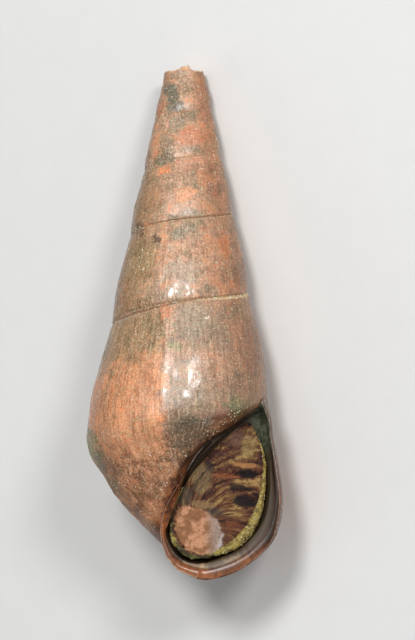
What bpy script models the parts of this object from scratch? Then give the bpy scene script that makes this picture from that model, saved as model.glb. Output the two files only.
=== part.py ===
"""Trumpet snail shell with a broken tip, lying on its back, rolled towards its outer lip.

Metres, +Z up. The spire points along +Y and dips to the surface, the mouth faces up and to +X, and the
origin is on the surface that the shell lies on, under the middle of its box. Three pieces: the shell,
the horny lid (operculum) that closes its mouth, and the dried silt and algae that seal the lid to the
lip.

The shell is worked out upright, in millimetres: x across to the outer lip's side, z forward to the
mouth's side, and a distance down the axis from the point where the whorls would have begun.
"""
import math

import bmesh
import bpy
from mathutils import Euler, Vector

MILLIMETRE = 0.001
CURVE_STEPS = 12           # in each span of a smooth curve

# How the shell lies: the axis dips towards the tip, and the mouth is rolled towards its outer lip.
TIP_DIP = math.radians(14.4)
ROLL = math.radians(34.2)

# Growth. A turn is 1 for a whole whorl: 0 at the front, 0.25 on the left, 0.5 at the back.
WHORL_GROWTH = 1.32        # each whorl against the one before it
SEAM_DISTANCE = 13.0       # down the axis to the seam at turn 0
TIP_TURN = -4.7            # the lost tip, cut off by the break
MOUTH_TURN = 0.8
STEPS_PER_TURN = 40
BREAK_DISTANCE = 4.0       # down the axis to the broken tip
BREAK_ROUGHNESS = 0.11
BREAK_REACH = 2.2          # of the broken face to each side of the axis
BREAK_CELLS = 9
BREAK_HEIGHT = 3.0

# How it departs from an even spiral.
SKEW = 0.11                # how much lower the seams run for each millimetre across
WIDTH = 1.04               # of all the whorls
TIP_TAPER = 0.5            # narrows the whorls near the tip
DRIFT_LEFT = 0.05          # of the last whorl's middle off the axis
DRIFT_BACK = 0.20
DRIFT_FROM = (13.5, 17.5)  # down the axis
DRIFT_OUT = (1.0, 3.0)     # it leaves the columella where it is
NARROWING = 0.13           # of the last half whorl towards the mouth
NARROWING_TURNS = (0.5, 0.7)
SEAM_SAG = 0.22            # of the last seam, left of the front
SAG_TURNS = (-0.05, 0.14, 0.30)
# Low ridges where growth paused: turn and height. The shell lies on the pair at its back.
GROWTH_RIDGES = ((0.05, 0.03), (0.55, 0.08), (0.60, 0.08))
RIDGE_HALF_WIDTH = 0.02

# The outside of a whorl from the seam above it to the seam below it: distance down the axis and
# radius, both against the seam's own distance. The pairs after it are where the narrowing sets in
# and where a ridge rises and ends.
SEAM_RADIUS = 0.192
WALL = ((1.000, SEAM_RADIUS), (1.012, 0.1985), (1.045, 0.2085), (1.110, 0.2245), (1.180, 0.2415),
        (1.245, 0.2520), (1.300, 0.2555), (WHORL_GROWTH, SEAM_RADIUS * WHORL_GROWTH))
WALL_STEPS = 6
BELOW_SEAM = (1.0, 1.08)
RIDGE_TOP = (1.0, 1.12)
RIDGE_FOOT = (1.35, 1.5)
# The base below it, slanting on the left of the last whorl and rounded where a mouth has stood.
SLANTING_BASE = ((1.350, 0.2450), (1.395, 0.2130), (1.455, 0.1730), (1.510, 0.1150), (1.560, 0.0600))
ROUNDED_BASE = ((1.340, 0.2440), (1.365, 0.2080), (1.400, 0.1560), (1.432, 0.1000), (1.450, 0.0500))
BASE_STEPS = 7
WIDE_RING = WALL_STEPS + BASE_STEPS + 1
SLANTING_TURNS = (-0.15, 0.2)
LIP_TURN = 0.68            # from here the whorl bends to meet the lip

# The mouth's outlines: across from the axis and down it, in millimetres. They start at the upper
# corner, where the lip leaves the whorl before, and run down the outer lip.
MOUTH_FORWARD = 0.72       # the mouth's plane in front of the axis
MOUTH_SLOPE = 0.13         # and its rise towards the outer lip
OUTER_LIP = ((2.93, 16.22), (3.29, 16.98), (3.36, 17.69), (3.62, 19.05), (3.70, 20.08), (3.46, 21.40),
             (2.98, 22.08), (2.30, 22.70), (1.54, 23.13), (0.60, 23.29), (-0.26, 23.00))
INNER_LIP_LEFT = -0.92     # the inner lip bulges to the left of the axis in an arc
INNER_LIP_MIDDLE = 21.53
INNER_LIP_RADIUS = 2.03
INNER_LIP_TOP = 17.9
INNER_LIP_CLIMB = 1.8      # how much faster it climbs deep in the mouth than at its foot
INNER_LIP_BEND = 0.98      # the share of the arc's radius that it follows
OPENING = ((3.02, 16.62), (3.26, 17.60), (3.23, 18.83), (3.08, 20.30), (2.63, 21.45), (1.73, 22.21),
           (0.60, 22.73), (-0.26, 22.45), (-0.68, 21.70), (-0.60, 20.95), (-0.30, 20.00), (0.30, 18.95),
           (1.20, 17.95), (2.20, 17.10), (2.75, 16.65))
MOUTH_MIDDLE = (1.40, 20.20)
MOUTH_FLARE = 0.24         # of the opening towards the thin edge, more to the right and at the foot
FLARE_ACROSS = 0.12
FLARE_DOWN = 0.27

# The hollow up the whorls, as distance down the axis and radius against the seam's distance.
HOLLOW = ((1.050, 0.186), (1.110, 0.202), (1.200, 0.222), (1.280, 0.230), (1.335, 0.213), (1.385, 0.155),
          (1.410, 0.095), (1.390, 0.050), (1.300, 0.038), (1.200, 0.042), (1.130, 0.062), (1.090, 0.105),
          (1.060, 0.150))
HOLLOW_SIDES = 20
HOLLOW_TURNS = (0.70, -1.30)
HOLLOW_STEPS_PER_TURN = 22
# The mouth's sections: depth behind its plane, flare towards the lip's edge, and size.
MOUTH_SECTIONS = ((-0.12, 1.0, 1.00), (0.02, 1.0, 1.00), (0.34, 0.0, 1.00), (0.62, 0.0, 0.96),
                  (0.92, 0.0, 0.72))

# The lid, a thin plate that grew in a spiral from a spot near its lower end.
LID_OUTLINE = ((2.52, 17.20), (2.88, 17.91), (3.00, 18.60), (2.90, 19.50), (2.55, 20.70), (1.92, 21.62),
               (1.20, 22.20), (0.45, 22.44), (-0.18, 22.12), (-0.40, 21.45), (-0.32, 20.59), (0.20, 19.42),
               (1.05, 18.36), (1.77, 17.60), (2.15, 17.28))
LID_START = (0.42, 21.55)
LID_SIDES = 36
LID_RINGS = (1.0, 0.82, 0.6, 0.38, 0.18)
LID_DEPTH = 0.42
LID_DISH = 0.10
LID_THICKNESS = 0.14

SILT_CLEARANCE = 0.05
SILT_DEPTH = 0.48
SILT_START = 2             # along the lid's outline, from its upper corner
SILT_POINTS = 22
SILT_REACH = 0.98          # how far it stays inside the wall
WALL_POINTS = 240


def smooth(low, high, value):
    """0 below low, 1 above high, and an even S between."""
    share = min(max((value - low) / (high - low), 0.0), 1.0)
    return share * share * (3.0 - 2.0 * share)


def blend(first, second, share):
    return tuple(a + (b - a) * share for a, b in zip(first, second))


def curve_through(points, count, closed=False):
    """Points at even steps along a smooth curve through the given ones."""
    size = len(points)
    fine = []
    for span in range(size if closed else size - 1):
        near = [points[(span + k) % size if closed else min(max(span + k, 0), size - 1)]
                for k in (-1, 0, 1, 2)]
        for step in range(CURVE_STEPS):
            s = step / CURVE_STEPS
            weights = ((-s + 2 * s ** 2 - s ** 3) / 2, (2 - 5 * s ** 2 + 3 * s ** 3) / 2,
                       (s + 4 * s ** 2 - 3 * s ** 3) / 2, (s ** 3 - s ** 2) / 2)
            fine.append(tuple(sum(w * p[axis] for w, p in zip(weights, near)) for axis in (0, 1)))
    fine.append(points[0] if closed else points[-1])
    lengths = [0.0]
    for start, end in zip(fine, fine[1:]):
        lengths.append(lengths[-1] + math.dist(start, end))
    picked = []
    at = 0
    for k in range(count):
        wanted = lengths[-1] * k / (count if closed else count - 1)
        while at < len(fine) - 2 and lengths[at + 1] < wanted:
            at += 1
        picked.append(blend(fine[at], fine[at + 1], (wanted - lengths[at]) / (lengths[at + 1] - lengths[at])))
    return picked


def seam_distance(turn):
    start, lowest, end = SAG_TURNS
    sag = SEAM_SAG * smooth(start, lowest, turn) * (1.0 - smooth(lowest, end, turn))
    return SEAM_DISTANCE * WHORL_GROWTH ** turn + sag


def in_whorl(turn, shape):
    """A shape given against the seam's distance, as distances down the axis and radii in millimetres."""
    seam = seam_distance(turn)
    ridge = sum(height * max(1.0 - abs(turn - at) / RIDGE_HALF_WIDTH, 0.0) for at, height in GROWTH_RIDGES)
    placed = []
    for down, out in shape:
        taper = WIDTH * (1.0 - TIP_TAPER / (down * seam))
        narrow = 1.0 - NARROWING * smooth(*NARROWING_TURNS, turn) * smooth(*BELOW_SEAM, down)
        rise = ridge * smooth(*RIDGE_TOP, down) * (1.0 - smooth(*RIDGE_FOOT, down))
        placed.append((down * seam, out * seam * taper * narrow + rise))
    return placed


def upright(across, down, forward):
    return Vector((across, -down - SKEW * across, forward))


def around_axis(turn, placed):
    angle = 2 * math.pi * turn
    points = []
    for down, out in placed:
        drift = smooth(*DRIFT_FROM, down) * smooth(*DRIFT_OUT, out)
        across = -out * math.sin(angle) - DRIFT_LEFT * drift
        points.append(upright(across, down, out * math.cos(angle) - DRIFT_BACK * drift))
    return points


def at_mouth(point, depth=0.0):
    across, down = point
    return upright(across, down, MOUTH_FORWARD + MOUTH_SLOPE * across - depth)


def outside_shape(turn):
    """The outside of the whorl at a turn, from its upper seam to the foot of its base."""
    rounded = max(1.0 - smooth(*SLANTING_TURNS, turn), smooth(SLANTING_TURNS[1], MOUTH_TURN, turn))
    base = [blend(slanting, round_, rounded) for slanting, round_ in zip(SLANTING_BASE, ROUNDED_BASE)]
    return curve_through(WALL, WALL_STEPS + 1) + curve_through([WALL[-1]] + base, BASE_STEPS)[1:]


def inner_lip(turn):
    """Where the base's foot meets the inner lip, which climbs from its foot deep into the mouth."""
    foot = OUTER_LIP[-1][1]
    down = foot + (INNER_LIP_TOP - foot) * (MOUTH_TURN - turn) ** INNER_LIP_CLIMB
    rise = min(abs(down - INNER_LIP_MIDDLE), INNER_LIP_BEND * INNER_LIP_RADIUS)
    bulge = INNER_LIP_RADIUS - math.sqrt(INNER_LIP_RADIUS ** 2 - rise ** 2)
    return INNER_LIP_LEFT + bulge, down


def outside_rings():
    """Rings from the tip to the mouth. Those of the last whorl reach on over its base to the inner lip."""
    count = round((MOUTH_TURN - TIP_TURN) * STEPS_PER_TURN)
    lip = [at_mouth(point) for point in curve_through(OUTER_LIP, WIDE_RING)]
    even = around_axis(MOUTH_TURN, in_whorl(MOUTH_TURN, outside_shape(MOUTH_TURN)))
    even.append(at_mouth(inner_lip(MOUTH_TURN)))
    rings = []
    for k in range(count + 1):
        turn = MOUTH_TURN - (count - k) / STEPS_PER_TURN
        ring = around_axis(turn, in_whorl(turn, outside_shape(turn)))
        if count - k > STEPS_PER_TURN:
            rings.append(ring[:WALL_STEPS + 1])
            continue
        ring.append(at_mouth(inner_lip(turn)))
        share = smooth(LIP_TURN, MOUTH_TURN, turn)
        rings.append([p + (q - r) * share for p, q, r in zip(ring, lip, even)])
    return rings


def whorls_mesh():
    """The whorls as one closed skin: each wall ends on the next whorl's seam, and a cap fills the mouth."""
    rings = outside_rings()
    bm = bmesh.new()
    narrow = len(rings) - 1 - STEPS_PER_TURN
    rows = []
    for i, ring in enumerate(rings):
        shared = WALL_STEPS if i <= narrow else None
        rows.append([None if j == shared else bm.verts.new(p * MILLIMETRE) for j, p in enumerate(ring)])
    for i in range(narrow + 1):
        rows[i][WALL_STEPS] = rows[i + STEPS_PER_TURN][0]
    for row, after in zip(rows, rows[1:]):
        for j in range(min(len(row), len(after)) - 1):
            bm.faces.new((row[j], row[j + 1], after[j + 1], after[j]))
    ends = bmesh.ops.holes_fill(bm, edges=[edge for edge in bm.edges if edge.is_boundary], sides=0)
    bmesh.ops.poke(bm, faces=ends["faces"])
    return finished("whorls", bm)


def mouth_section(depth, flare, size):
    """The opening's outline at a depth, flared towards the thin edge of the outer and lower lip."""
    points = []
    for across, down in curve_through(OPENING, HOLLOW_SIDES, closed=True):
        outward = Vector((across - MOUTH_MIDDLE[0], down - MOUTH_MIDDLE[1])).normalized()
        reach = flare * max(MOUTH_FLARE + FLARE_ACROSS * outward.x + FLARE_DOWN * outward.y, 0.0)
        moved = blend(MOUTH_MIDDLE, (across, down), size)
        points.append(at_mouth((moved[0] + outward.x * reach, moved[1] + outward.y * reach), depth))
    return points


def hollow_mesh():
    """The space in the shell, from in front of the mouth up the whorls."""
    sections = [mouth_section(*section) for section in MOUTH_SECTIONS]
    steps = round((HOLLOW_TURNS[0] - HOLLOW_TURNS[1]) * HOLLOW_STEPS_PER_TURN)
    shape = curve_through(HOLLOW, HOLLOW_SIDES, closed=True)
    for k in range(steps + 1):
        turn = HOLLOW_TURNS[0] - k / HOLLOW_STEPS_PER_TURN
        sections.append(around_axis(turn, in_whorl(turn, shape)))
    bm = bmesh.new()
    rows = [[bm.verts.new(p * MILLIMETRE) for p in section] for section in sections]
    for row, after in zip(rows, rows[1:]):
        for j in range(HOLLOW_SIDES):
            bm.faces.new((row[j - 1], row[j], after[j], after[j - 1]))
    bm.faces.new(rows[0])
    bm.faces.new(rows[-1])
    return finished("hollow", bm)


def break_mesh():
    """A block whose rough underside breaks off the tip, as two sets of waves across each other."""
    bm = bmesh.new()
    bmesh.ops.create_grid(bm, x_segments=BREAK_CELLS, y_segments=BREAK_CELLS, size=BREAK_REACH * MILLIMETRE)
    for vert in bm.verts:
        x, y = vert.co.x / MILLIMETRE, vert.co.y / MILLIMETRE
        vert.co.z = BREAK_ROUGHNESS * MILLIMETRE * (math.sin(5.3 * x + 0.6) + math.sin(6.1 * y - 4.0 * x))
    top = bmesh.ops.extrude_face_region(bm, geom=list(bm.faces))
    moved = [item for item in top["geom"] if isinstance(item, bmesh.types.BMVert)]
    bmesh.ops.translate(bm, vec=(0.0, 0.0, BREAK_HEIGHT * MILLIMETRE), verts=moved)
    bmesh.ops.rotate(bm, matrix=Euler((-math.pi / 2, 0.0, 0.0)).to_matrix(), verts=bm.verts)
    bmesh.ops.translate(bm, vec=(0.0, -BREAK_DISTANCE * MILLIMETRE, 0.0), verts=bm.verts)
    return finished("break", bm)


def lid_mesh():
    """The lid's front as rings shrinking to the spot where it began; Solidify gives it its thickness."""
    outline = curve_through(LID_OUTLINE, LID_SIDES, closed=True)
    bm = bmesh.new()
    rows = []
    for size in LID_RINGS:
        depth = LID_DEPTH + LID_DISH * (1.0 - size ** 2)
        rows.append([bm.verts.new(at_mouth(blend(LID_START, p, size), depth) * MILLIMETRE) for p in outline])
    for row, inner in zip(rows, rows[1:]):
        for j in range(LID_SIDES):
            bm.faces.new((row[j], row[j - 1], inner[j - 1], inner[j]))
    middle = bm.faces.new(rows[-1])
    bmesh.ops.poke(bm, faces=[middle])
    bmesh.ops.recalc_face_normals(bm, faces=bm.faces)
    if sum(face.normal.z for face in bm.faces) < 0.0:
        bmesh.ops.reverse_faces(bm, faces=bm.faces)
    mesh = bpy.data.meshes.new("operculum")
    bm.to_mesh(mesh)
    bm.free()
    return mesh


def silt_curve():
    """A bead in the gap between the lid and the lip, from the outer side round to the inner lip."""
    lid = curve_through(LID_OUTLINE, LID_SIDES, closed=True)
    curve = bpy.data.curves.new("silt_seam", "CURVE")
    curve.dimensions = "3D"
    curve.bevel_depth = MILLIMETRE
    curve.bevel_resolution = 1
    curve.use_fill_caps = True
    wall = curve_through(OPENING, WALL_POINTS, closed=True)
    spline = curve.splines.new("POLY")
    spline.points.add(SILT_POINTS - 1)
    for k in range(SILT_POINTS):
        across, down = lid[SILT_START + k]
        nearest = min(wall, key=lambda point: math.dist(point, (across, down)))
        middle = blend((across, down), blend(MOUTH_MIDDLE, nearest, SILT_REACH), 0.5)
        point = at_mouth(middle, SILT_DEPTH) * MILLIMETRE
        spline.points[k].co = (*point, 1.0)
        spline.points[k].radius = math.dist((across, down), middle) - SILT_CLEARANCE
    return curve


def finished(name, bm):
    bmesh.ops.recalc_face_normals(bm, faces=bm.faces)
    mesh = bpy.data.meshes.new(name)
    bm.to_mesh(mesh)
    bm.free()
    return mesh


def clear_scene():
    for item in list(bpy.data.objects):
        bpy.data.objects.remove(item, do_unlink=True)


def new_collection(name):
    collection = bpy.data.collections.new(name)
    bpy.context.scene.collection.children.link(collection)
    return collection


def new_material(name, colour, roughness):
    material = bpy.data.materials.new(name)
    material.use_nodes = True
    surface = material.node_tree.nodes["Principled BSDF"]
    surface.inputs["Base Color"].default_value = (*colour, 1.0)
    surface.inputs["Roughness"].default_value = roughness
    surface.inputs["Metallic"].default_value = 0.0
    return material


def add_object(name, data, collection, parent):
    item = bpy.data.objects.new(name, data)
    item.parent = parent
    collection.objects.link(item)
    return item


def add_cutter(name, mesh, collection, parent, target):
    cutter = add_object(name, mesh, collection, parent)
    cutter.hide_render = True
    cutter.display_type = "WIRE"
    cut = target.modifiers.new(name, "BOOLEAN")
    cut.operation = "DIFFERENCE"
    cut.solver = "EXACT"
    cut.use_self = True
    cut.object = cutter


def lay_on_surface(frame, parts):
    """Moves the frame so that the parts lie on z = 0 with the origin under the middle of their box."""
    bpy.context.view_layer.update()
    graph = bpy.context.evaluated_depsgraph_get()
    corners = []
    for part in parts:
        mesh = part.evaluated_get(graph).to_mesh()
        corners += [part.matrix_world @ vert.co for vert in mesh.vertices]
    low = [min(corner[axis] for corner in corners) for axis in range(3)]
    high = [max(corner[axis] for corner in corners) for axis in range(3)]
    frame.location = (-(low[0] + high[0]) / 2, -(low[1] + high[1]) / 2, -low[2])
    bpy.context.view_layer.update()


def main():
    clear_scene()
    parts = new_collection("trumpet_snail_shell")
    cutters = new_collection("cutters")

    frame = bpy.data.objects.new("lying_shell", None)
    frame.rotation_mode = "XYZ"
    frame.rotation_euler = (-TIP_DIP, ROLL, 0.0)
    parts.objects.link(frame)

    shell = add_object("shell", whorls_mesh(), parts, frame)
    shell.data.materials.append(new_material("shell", (0.42, 0.24, 0.16), 0.45))
    add_cutter("hollow", hollow_mesh(), cutters, frame, shell)
    add_cutter("break", break_mesh(), cutters, frame, shell)

    lid = add_object("operculum", lid_mesh(), parts, frame)
    lid.data.materials.append(new_material("operculum", (0.33, 0.19, 0.12), 0.6))
    plate = lid.modifiers.new("thickness", "SOLIDIFY")
    plate.thickness = LID_THICKNESS * MILLIMETRE
    plate.offset = -1.0

    seam = add_object("silt_seam", silt_curve(), parts, frame)
    seam.data.materials.append(new_material("silt_seam", (0.42, 0.40, 0.12), 0.8))

    lay_on_surface(frame, [shell, lid, seam])


main()
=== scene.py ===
"""A trumpet snail shell with a broken tip, lying on its back with its horny lid in the mouth.

The shell is worked out upright, in millimetres: x across to the outer lip's side, y up the spire and
z forward to the mouth's side. Distances "down" run down the axis from where the whorls would have
begun. Every finished piece is then laid down and moved to the frame.
"""

import math
from collections import namedtuple

import bmesh
import bpy
from mathutils import Euler, Matrix, Vector
from mathutils.bvhtree import BVHTree


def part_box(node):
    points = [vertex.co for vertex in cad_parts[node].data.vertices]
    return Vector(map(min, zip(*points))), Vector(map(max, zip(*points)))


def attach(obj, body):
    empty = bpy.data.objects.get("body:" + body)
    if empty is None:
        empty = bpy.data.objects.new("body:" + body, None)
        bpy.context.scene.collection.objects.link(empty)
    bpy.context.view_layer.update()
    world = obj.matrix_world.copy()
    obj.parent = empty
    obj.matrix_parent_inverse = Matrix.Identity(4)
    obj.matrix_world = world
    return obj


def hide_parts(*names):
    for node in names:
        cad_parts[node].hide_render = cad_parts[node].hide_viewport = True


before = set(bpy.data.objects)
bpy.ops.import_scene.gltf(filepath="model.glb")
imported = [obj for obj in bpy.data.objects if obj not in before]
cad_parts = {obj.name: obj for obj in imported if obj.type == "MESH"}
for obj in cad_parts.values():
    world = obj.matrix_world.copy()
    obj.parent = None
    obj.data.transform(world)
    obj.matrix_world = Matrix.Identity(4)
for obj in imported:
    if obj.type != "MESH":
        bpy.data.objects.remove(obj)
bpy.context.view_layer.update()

# How the shell lies.
TIP_DIP = math.radians(14.4)
ROLL = math.radians(34.2)
LYING = Euler((-TIP_DIP, ROLL, 0.0), "XYZ").to_matrix()
UPRIGHT = LYING.transposed()
MILLIMETRE = 0.001

# The camera: how far it leans up the spire, the height it takes in at the shell and where it looks.
VIEW_LEAN = math.radians(7.0)
FRAME_HEIGHT = 24.06
CAMERA_TARGET = (0.861, -13.441, 0.0)

# Growth. A turn is 1 for a whole whorl: 0 at the front, 0.25 on the left, 0.5 at the back.
SIZES = {
    "Whorl Growth": 1.32,
    "Seam Distance": 13.0,
    "Skew": 0.11,
    "Width": 1.04,
    "Tip Taper": 0.5,
    "Drift Left": 0.05,
    "Drift Back": 0.20,
    "Narrowing": 0.13,
    "Seam Sag": 0.22,
    "Front Ridge": 0.03,
    "Back Ridges": 0.08,
}
# Turns, distances down and radii over which the seam's sag, the narrowing and the drift come and go.
SAG_STARTS = (-0.05, 0.14)
SAG_ENDS = (0.14, 0.30)
NARROWS = (0.5, 0.7)
DRIFTS_DOWN = (13.5, 17.5)
DRIFTS_OUT = (1.0, 3.0)
BACK_RIDGE_TURNS = (0.55, 0.60)
TIP_TURN = -5.3
MOUTH_TURN = 0.8
STEPS_PER_TURN = 240
RING_COUNT = round((MOUTH_TURN - TIP_TURN) * STEPS_PER_TURN)
LAST_WHORL = RING_COUNT - STEPS_PER_TURN
RIDGE_HALF_WIDTH = 0.02
RIDGE_TURN = 0.036
BREAK_DISTANCE = 4.0
WEAR_SIZES = {
    "Growth Lines": 62.0,
    "Line Height": 0.022,
    "Lumps": 0.10,
    "Wear": 0.030,
    "Seam Groove": 0.060,
    "Break Distance": BREAK_DISTANCE,
}

# Profiles of the whorl: distance down the axis and radius, both against the seam's own distance.
SEAM_RADIUS = 0.192
WALL = ((1.000, SEAM_RADIUS), (1.012, 0.1985), (1.045, 0.2085), (1.110, 0.2245), (1.180, 0.2415),
        (1.245, 0.2520), (1.300, 0.2555), (1.32, SEAM_RADIUS * 1.32))
SLANTING_BASE = ((1.350, 0.2450), (1.395, 0.2130), (1.455, 0.1730), (1.510, 0.1150), (1.560, 0.0600))
ROUNDED_BASE = ((1.340, 0.2440), (1.365, 0.2080), (1.400, 0.1560), (1.432, 0.1000), (1.450, 0.0500))
# Rows of the fine skin, and how many steps of the lip's outline each stretch takes up.
WALL_ROWS = 38
BASE_ROWS = 24
CREST_ROWS = 12
THROAT_ROWS = 26
BEND_STEPS = 60
TIP_RINGS = 14
WALL_SHARE = 6
BASE_SHARE = 6
LIP_SHARE = 13
# Where the whorl turns towards its lip, its surface calms and the base is held by the mouth's plane.
LIP_TURN = 0.68
CALM_BY_LIP = (MOUTH_TURN - 0.03, MOUTH_TURN - 0.004)
FRONT_ENDS = (0.03, 0.16)
BASE_BEHIND = 0.10

# The mouth's plane, and its outlines as places across the axis and down it.
MOUTH_FORWARD = 0.72
MOUTH_SLOPE = 0.13
MOUTH_MIDDLE = (1.40, 20.20)
OUTER_LIP = ((2.90, 16.22), (3.20, 16.98), (3.28, 17.69), (3.52, 19.05), (3.59, 20.08), (3.35, 21.36),
             (2.88, 22.02), (2.20, 22.61), (1.47, 23.01), (0.60, 23.21), (-0.26, 22.96))
INNER_LIP = ((-0.26, 22.96), (-0.67, 22.50), (-0.87, 22.00), (-0.91, 21.50), (-0.83, 21.00),
             (-0.68, 20.60), (-0.45, 20.15), (-0.10, 19.55), (0.13, 19.10), (0.40, 18.60), (0.70, 18.20),
             (1.00, 17.85))
INNER_LIP_CLIMB = 1.8
INNER_LIP_SINK = 0.14
INNER_LIP_RISE = 0.06
SINK_FADES = (19.2, 20.6)
RISE_GROWS = (18.8, 19.7)
OPENING = ((2.96, 16.70), (3.11, 17.60), (3.19, 18.60), (3.16, 19.75), (2.92, 20.80), (2.20, 21.76),
           (1.30, 22.30), (0.46, 22.60), (-0.26, 22.38), (-0.66, 21.70), (-0.60, 20.95), (-0.30, 20.00),
           (0.30, 18.95), (1.20, 17.95), (2.20, 17.10), (2.75, 16.65))

LID_OUTLINE = ((2.50, 17.18), (2.82, 17.91), (2.95, 18.60), (2.88, 19.50), (2.55, 20.60), (2.00, 21.42),
               (1.22, 22.03), (0.42, 22.28), (-0.18, 22.02), (-0.42, 21.40), (-0.34, 20.59), (0.16, 19.42),
               (1.00, 18.36), (1.72, 17.60), (2.12, 17.26))
LID_START = (0.44, 21.50)
LID_DEPTH = 0.42
LID_DISH = 0.10
LID_THICKNESS = 0.14
LID_SIDES = 288
LID_RINGS = 56

SILT_DEPTH = 0.46
SILT_POINTS = 90
SILT_SPAN = (0.045, 0.72)      # shares of the lid's outline that it runs between


# ---------------------------------------------------------------- node trees

class Value:
    """A socket that can stand in sums. Each sum adds its Math node to the tree."""

    def __init__(self, tree, socket):
        self.tree = tree
        self.socket = socket

    def maths(self, operation, *others):
        inputs = dict(enumerate((self,) + others))
        return self.tree.node("ShaderNodeMath", {"operation": operation}, inputs)

    def other(self, output):
        """Another output of the same node."""
        return Value(self.tree, self.socket.node.outputs[output])

    def __add__(self, other):
        return self.maths("ADD", other)

    def __sub__(self, other):
        return self.maths("SUBTRACT", other)

    def __mul__(self, other):
        return self.maths("MULTIPLY", other)

    def __truediv__(self, other):
        return self.maths("DIVIDE", other)

    def __pow__(self, other):
        return self.maths("POWER", other)

    def __neg__(self):
        return self.maths("MULTIPLY", -1.0)

    def __abs__(self):
        return self.maths("ABSOLUTE")

    def __radd__(self, other):
        return self.maths("ADD", other)

    def __rmul__(self, other):
        return self.maths("MULTIPLY", other)

    def __rsub__(self, other):
        return self.tree.node("ShaderNodeMath", {"operation": "SUBTRACT"}, {0: other, 1: self})


class Tree:
    """A node tree that nodes are added to by type, settings and inputs."""

    def __init__(self, tree):
        self.tree = tree

    def node(self, kind, settings=None, inputs=None, output=0):
        made = self.tree.nodes.new(kind)
        for name, setting in (settings or {}).items():
            if name == "stops":
                self.set_stops(made.color_ramp, setting)
            else:
                setattr(made, name, setting)
        for name, value in (inputs or {}).items():
            if isinstance(value, Value):
                self.tree.links.new(value.socket, made.inputs[name])
            else:
                made.inputs[name].default_value = value
        return Value(self, made.outputs[output])

    def set_stops(self, ramp, stops):
        while len(ramp.elements) < len(stops):
            ramp.elements.new(1.0)
        for element, (position, colour) in zip(ramp.elements, stops):
            element.position = position
            element.color = (*colour, 1.0)

    def vector(self, x=0.0, y=0.0, z=0.0):
        return self.node("ShaderNodeCombineXYZ", {}, {0: x, 1: y, 2: z})

    def split(self, vector):
        """The three parts of a vector."""
        parts = self.node("ShaderNodeSeparateXYZ", {}, {0: vector})
        return parts, parts.other(1), parts.other(2)

    def vectors(self, operation, first, second=None, scale=None, output=0):
        inputs = {0: first}
        if second is not None:
            inputs[1] = second
        if scale is not None:
            inputs["Scale"] = scale
        return self.node("ShaderNodeVectorMath", {"operation": operation}, inputs, output)

    def noise(self, place, scale, detail=2.0, roughness=0.5, distortion=0.0, output=0):
        """Soft noise from 0 to 1. Scale is in waves to a unit of place."""
        inputs = {"Vector": place, "Scale": scale, "Detail": detail, "Roughness": roughness,
                  "Distortion": distortion}
        return self.node("ShaderNodeTexNoise", {}, inputs, output)

    def cells(self, place, scale):
        """How far a point is from the middle of its cell."""
        return self.node("ShaderNodeTexVoronoi", {"feature": "F1"}, {"Vector": place, "Scale": scale})

    def mix(self, factor, first, second, blend="MIX"):
        """A colour between two."""
        inputs = {0: factor}
        for index, colour in ((6, first), (7, second)):
            inputs[index] = colour if isinstance(colour, Value) else (*colour, 1.0)
        return self.node("ShaderNodeMix", {"data_type": "RGBA", "blend_type": blend}, inputs, 2)

    def stain(self, factor, colour, tone):
        """A colour multiplied by a tone as far as the factor says."""
        return self.mix(factor, colour, tone, "MULTIPLY")

    def attribute(self, name):
        return self.node("ShaderNodeAttribute", {"attribute_name": name}, {}, "Fac")


def smooth(low, high, value):
    """0 below low, 1 above high, and an even S between, for numbers and for nodes."""
    if isinstance(value, Value):
        settings = {"interpolation_type": "SMOOTHSTEP"}
        if low > high:
            return 1.0 - smooth(high, low, value)
        return value.tree.node("ShaderNodeMapRange", settings, {0: value, 1: low, 2: high})
    share = min(max((value - low) / (high - low), 0.0), 1.0)
    return share * share * (3.0 - 2.0 * share)


def at_least(value, low):
    return value.maths("MAXIMUM", low) if isinstance(value, Value) else max(value, low)


def sine(angle):
    return angle.maths("SINE") if isinstance(angle, Value) else math.sin(angle)


def cosine(angle):
    return angle.maths("COSINE") if isinstance(angle, Value) else math.cos(angle)


# ---------------------------------------------------------------- the rule of the spiral

def coil(turn, down, out, sizes):
    """A point of the spiral, from its turn and from its distance down the axis and radius against the
    seam's own distance. It is written once for numbers and for nodes."""
    sag = sizes["Seam Sag"] * smooth(*SAG_STARTS, turn) * (1.0 - smooth(*SAG_ENDS, turn))
    seam = sizes["Seam Distance"] * sizes["Whorl Growth"] ** turn + sag
    ridge = sizes["Front Ridge"] * at_least(1.0 - abs(turn - RIDGE_TURN) / RIDGE_HALF_WIDTH, 0.0)
    for at in BACK_RIDGE_TURNS:
        ridge = ridge + sizes["Back Ridges"] * at_least(1.0 - abs(turn - at) / RIDGE_HALF_WIDTH, 0.0)
    taper = sizes["Width"] * (1.0 - sizes["Tip Taper"] / (down * seam))
    narrow = 1.0 - sizes["Narrowing"] * smooth(*NARROWS, turn) * smooth(1.0, 1.08, down)
    rise = ridge * smooth(1.0, 1.12, down) * (1.0 - smooth(1.35, 1.5, down))
    along = down * seam
    radius = out * seam * taper * narrow + rise
    drift = smooth(*DRIFTS_DOWN, along) * smooth(*DRIFTS_OUT, radius)
    angle = turn * (2.0 * math.pi)
    across = -(radius * sine(angle)) - sizes["Drift Left"] * drift
    height = -along - sizes["Skew"] * across
    return across, height, radius * cosine(angle) - sizes["Drift Back"] * drift


def between(first, second, share):
    return tuple(a + (b - a) * share for a, b in zip(first, second))


CURVE_STEPS = 12


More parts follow.
